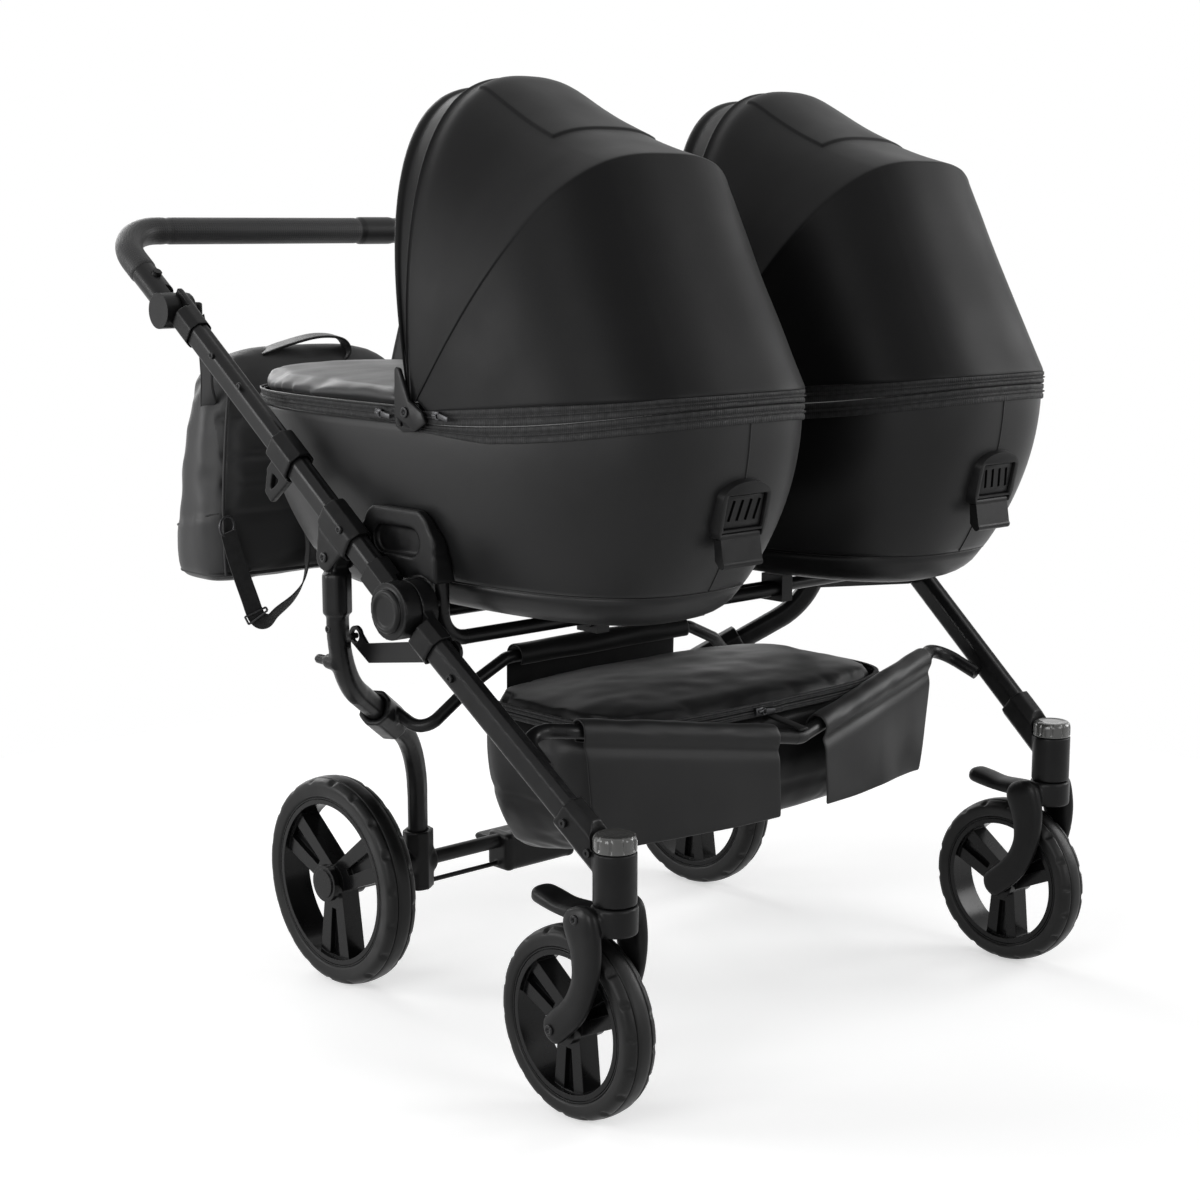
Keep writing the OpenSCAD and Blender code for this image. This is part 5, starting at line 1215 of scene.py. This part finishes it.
# Carry loop on the bag's top: a band of smooth leatherette, folded over and stitched into the
# top seam.
def ribbon(name, line, wide, thick, material, lean):
    """A flat strap along a line of points. lean gives its width direction at each point."""
    def place(i, j):
        size = wide[i] if hasattr(wide, "__len__") else wide
        return line[i] + lean[i] * size * (j / 6 - 0.5)
    piece = cloth_grid(name, len(line) - 1, 6, place)
    work(piece, "SOLIDIFY", thickness=thick, offset=0, use_rim=True)
    work(piece, "BEVEL", width=thick * 0.3, segments=2, limit_method="ANGLE", angle_limit=radians(50))
    return dress(piece, material)


loop_line = smooth_line([(-0.215, 0.392, 0.7325), (-0.18, 0.388, 0.743), (-0.135, 0.384, 0.752), (-0.1, 0.382, 0.749),
                         (-0.088, 0.381, 0.735), (-0.097, 0.382, 0.722), (-0.125, 0.385, 0.718)], 40)
loop_way = [Vector((0.15, 0.98, 0.1)).normalized()] * len(loop_line)
on_bag(ribbon("bag_carry_loop", loop_line, 0.026, 0.0032, smooth_leather, loop_way))

# Bag straps: a stitched triangle from the near handle joint, and on the far side a strap up to
# a spring ring and a second strap looped round the handle.
near_line = smooth_line([(-0.357, 0.3, 0.784), (-0.337, 0.326, 0.752), (-0.315, 0.356, 0.715), (-0.2995, 0.381, 0.684),
                         (-0.286, 0.397, 0.662)], 24)
near_way = [Vector((0.1, 0.75, -0.35 - 0.2 * k / 24)).normalized() for k in range(25)]
on_bag(ribbon("bag_near_strap", near_line, [0.022 + 0.03 * k / 24 for k in range(25)], 0.0036, side_leather, near_way))
for edge in (-1, 1):
    stitch = [p + w * edge * (0.0085 + 0.0145 * k / 24) + Vector((-0.0021, -0.0006, 0))
              for k, (p, w) in enumerate(zip(near_line, near_way))]
    on_bag(welt("near_strap_stitch_%d" % (edge + 1), stitch, 0.0006, front_cloth))
hook = block("bag_hook", (0.016, 0.014, 0.018), (-0.3635, pivot.y, pivot.z), 0.003)
on_bag(dress(hook, joint_nylon), "joint_plastic")
ring_at = Vector((0.052, 0.4218, 0.806))
low_line = smooth_line([(0.0095, 0.4065, 0.683), (0.024, 0.412, 0.724), (0.039, 0.417, 0.766),
                        ring_at - Vector((0.002, 0, 0.006))], 24)
low_strap = ribbon("far_lower", low_line, [0.03 - 0.008 * k / 24 for k in range(25)], 0.0034, side_leather,
                   [Vector((0.9, 0.1, -0.33)).normalized()] * 25)
top_line = smooth_line([ring_at + Vector((0, 0, 0.005)), (0.057, 0.4265, 0.83), (0.063, 0.4295, 0.853),
                        (0.064, 0.4195, 0.878)], 20)
top_strap = ribbon("far_upper", top_line, 0.016, 0.003, smooth_leather, [Vector((0.97, -0.05, -0.2)).normalized()] * 21)
ring = dress(hoop("spring_ring", ring_at, (75, 0, 10), 0.0115, 0.0018), nickel)


def cuff_place(i, j):
    a = 2 * pi * i / 48
    r = grip_r + (0.0004 if j in (0, 5) else 0.0036)
    return bar_corner + Vector(((0.052, 0.052, 0.06, 0.068, 0.076, 0.076)[j] - pivot.x, r * cos(a), r * sin(a)))


cuff = dress(sew_up(cloth_grid("far_cuff", 48, 5, cuff_place)), smooth_leather)
far_strap = join("far_strap", [low_strap, top_strap, cuff, ring])
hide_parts("bag_far_strap")
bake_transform(far_strap)

# Backpack strap: black webbing from a ring at the bag's lower corner, through a slider buckle,
# and back up to the bag, where it is sewn in.
webbing = woven("webbing", (0.008, 0.0083), (0.014, 0.0145), 1400)
web_count, web_wide = 90, 0.022
web_line = smooth_line([(-0.3005, 0.3415, 0.519), (-0.29, 0.3415, 0.483), (-0.2735, 0.341, 0.436),
                        (-0.2625, 0.3405, 0.408), (-0.2475, 0.34, 0.401), (-0.2333, 0.34, 0.411),
                        (-0.207, 0.3405, 0.427), (-0.1896, 0.341, 0.449), (-0.1831, 0.342, 0.486),
                        (-0.1885, 0.343, 0.53), (-0.198, 0.345, 0.58)], web_count)
web_way = []
for k in range(web_count + 1):
    turn = k / web_count * pi * 0.55
    t = (web_line[min(k + 1, web_count)] - web_line[max(k - 1, 0)]).normalized()
    flat_way = t.cross(Vector((0, 1, 0))).normalized()
    web_way.append((flat_way * cos(turn) + Vector((0, -0.6, 0)) * sin(turn)).normalized())
web = on_bag(ribbon("bag_webbing", web_line, web_wide, 0.0018, webbing, web_way), "lining")
strap_ring = hoop("strap_ring", (-0.301, 0.3435, 0.5255), (90, 0, 14), 0.0125, 0.0016)
on_bag(dress(strap_ring, nickel), "screw_steel")
ends = [(web_line[k] + Vector((0, -0.0022, 0)), web_way[k] * 0.0145) for k in (24, 27)]
bars = [[p - w, p + w] for p, w in ends] + [[p + w * side for p, w in ends] for side in (-1, 1)]
on_bag(join("slider_buckle", [welt("bar", bar, 0.0014, nickel) for bar in bars]), "screw_steel")
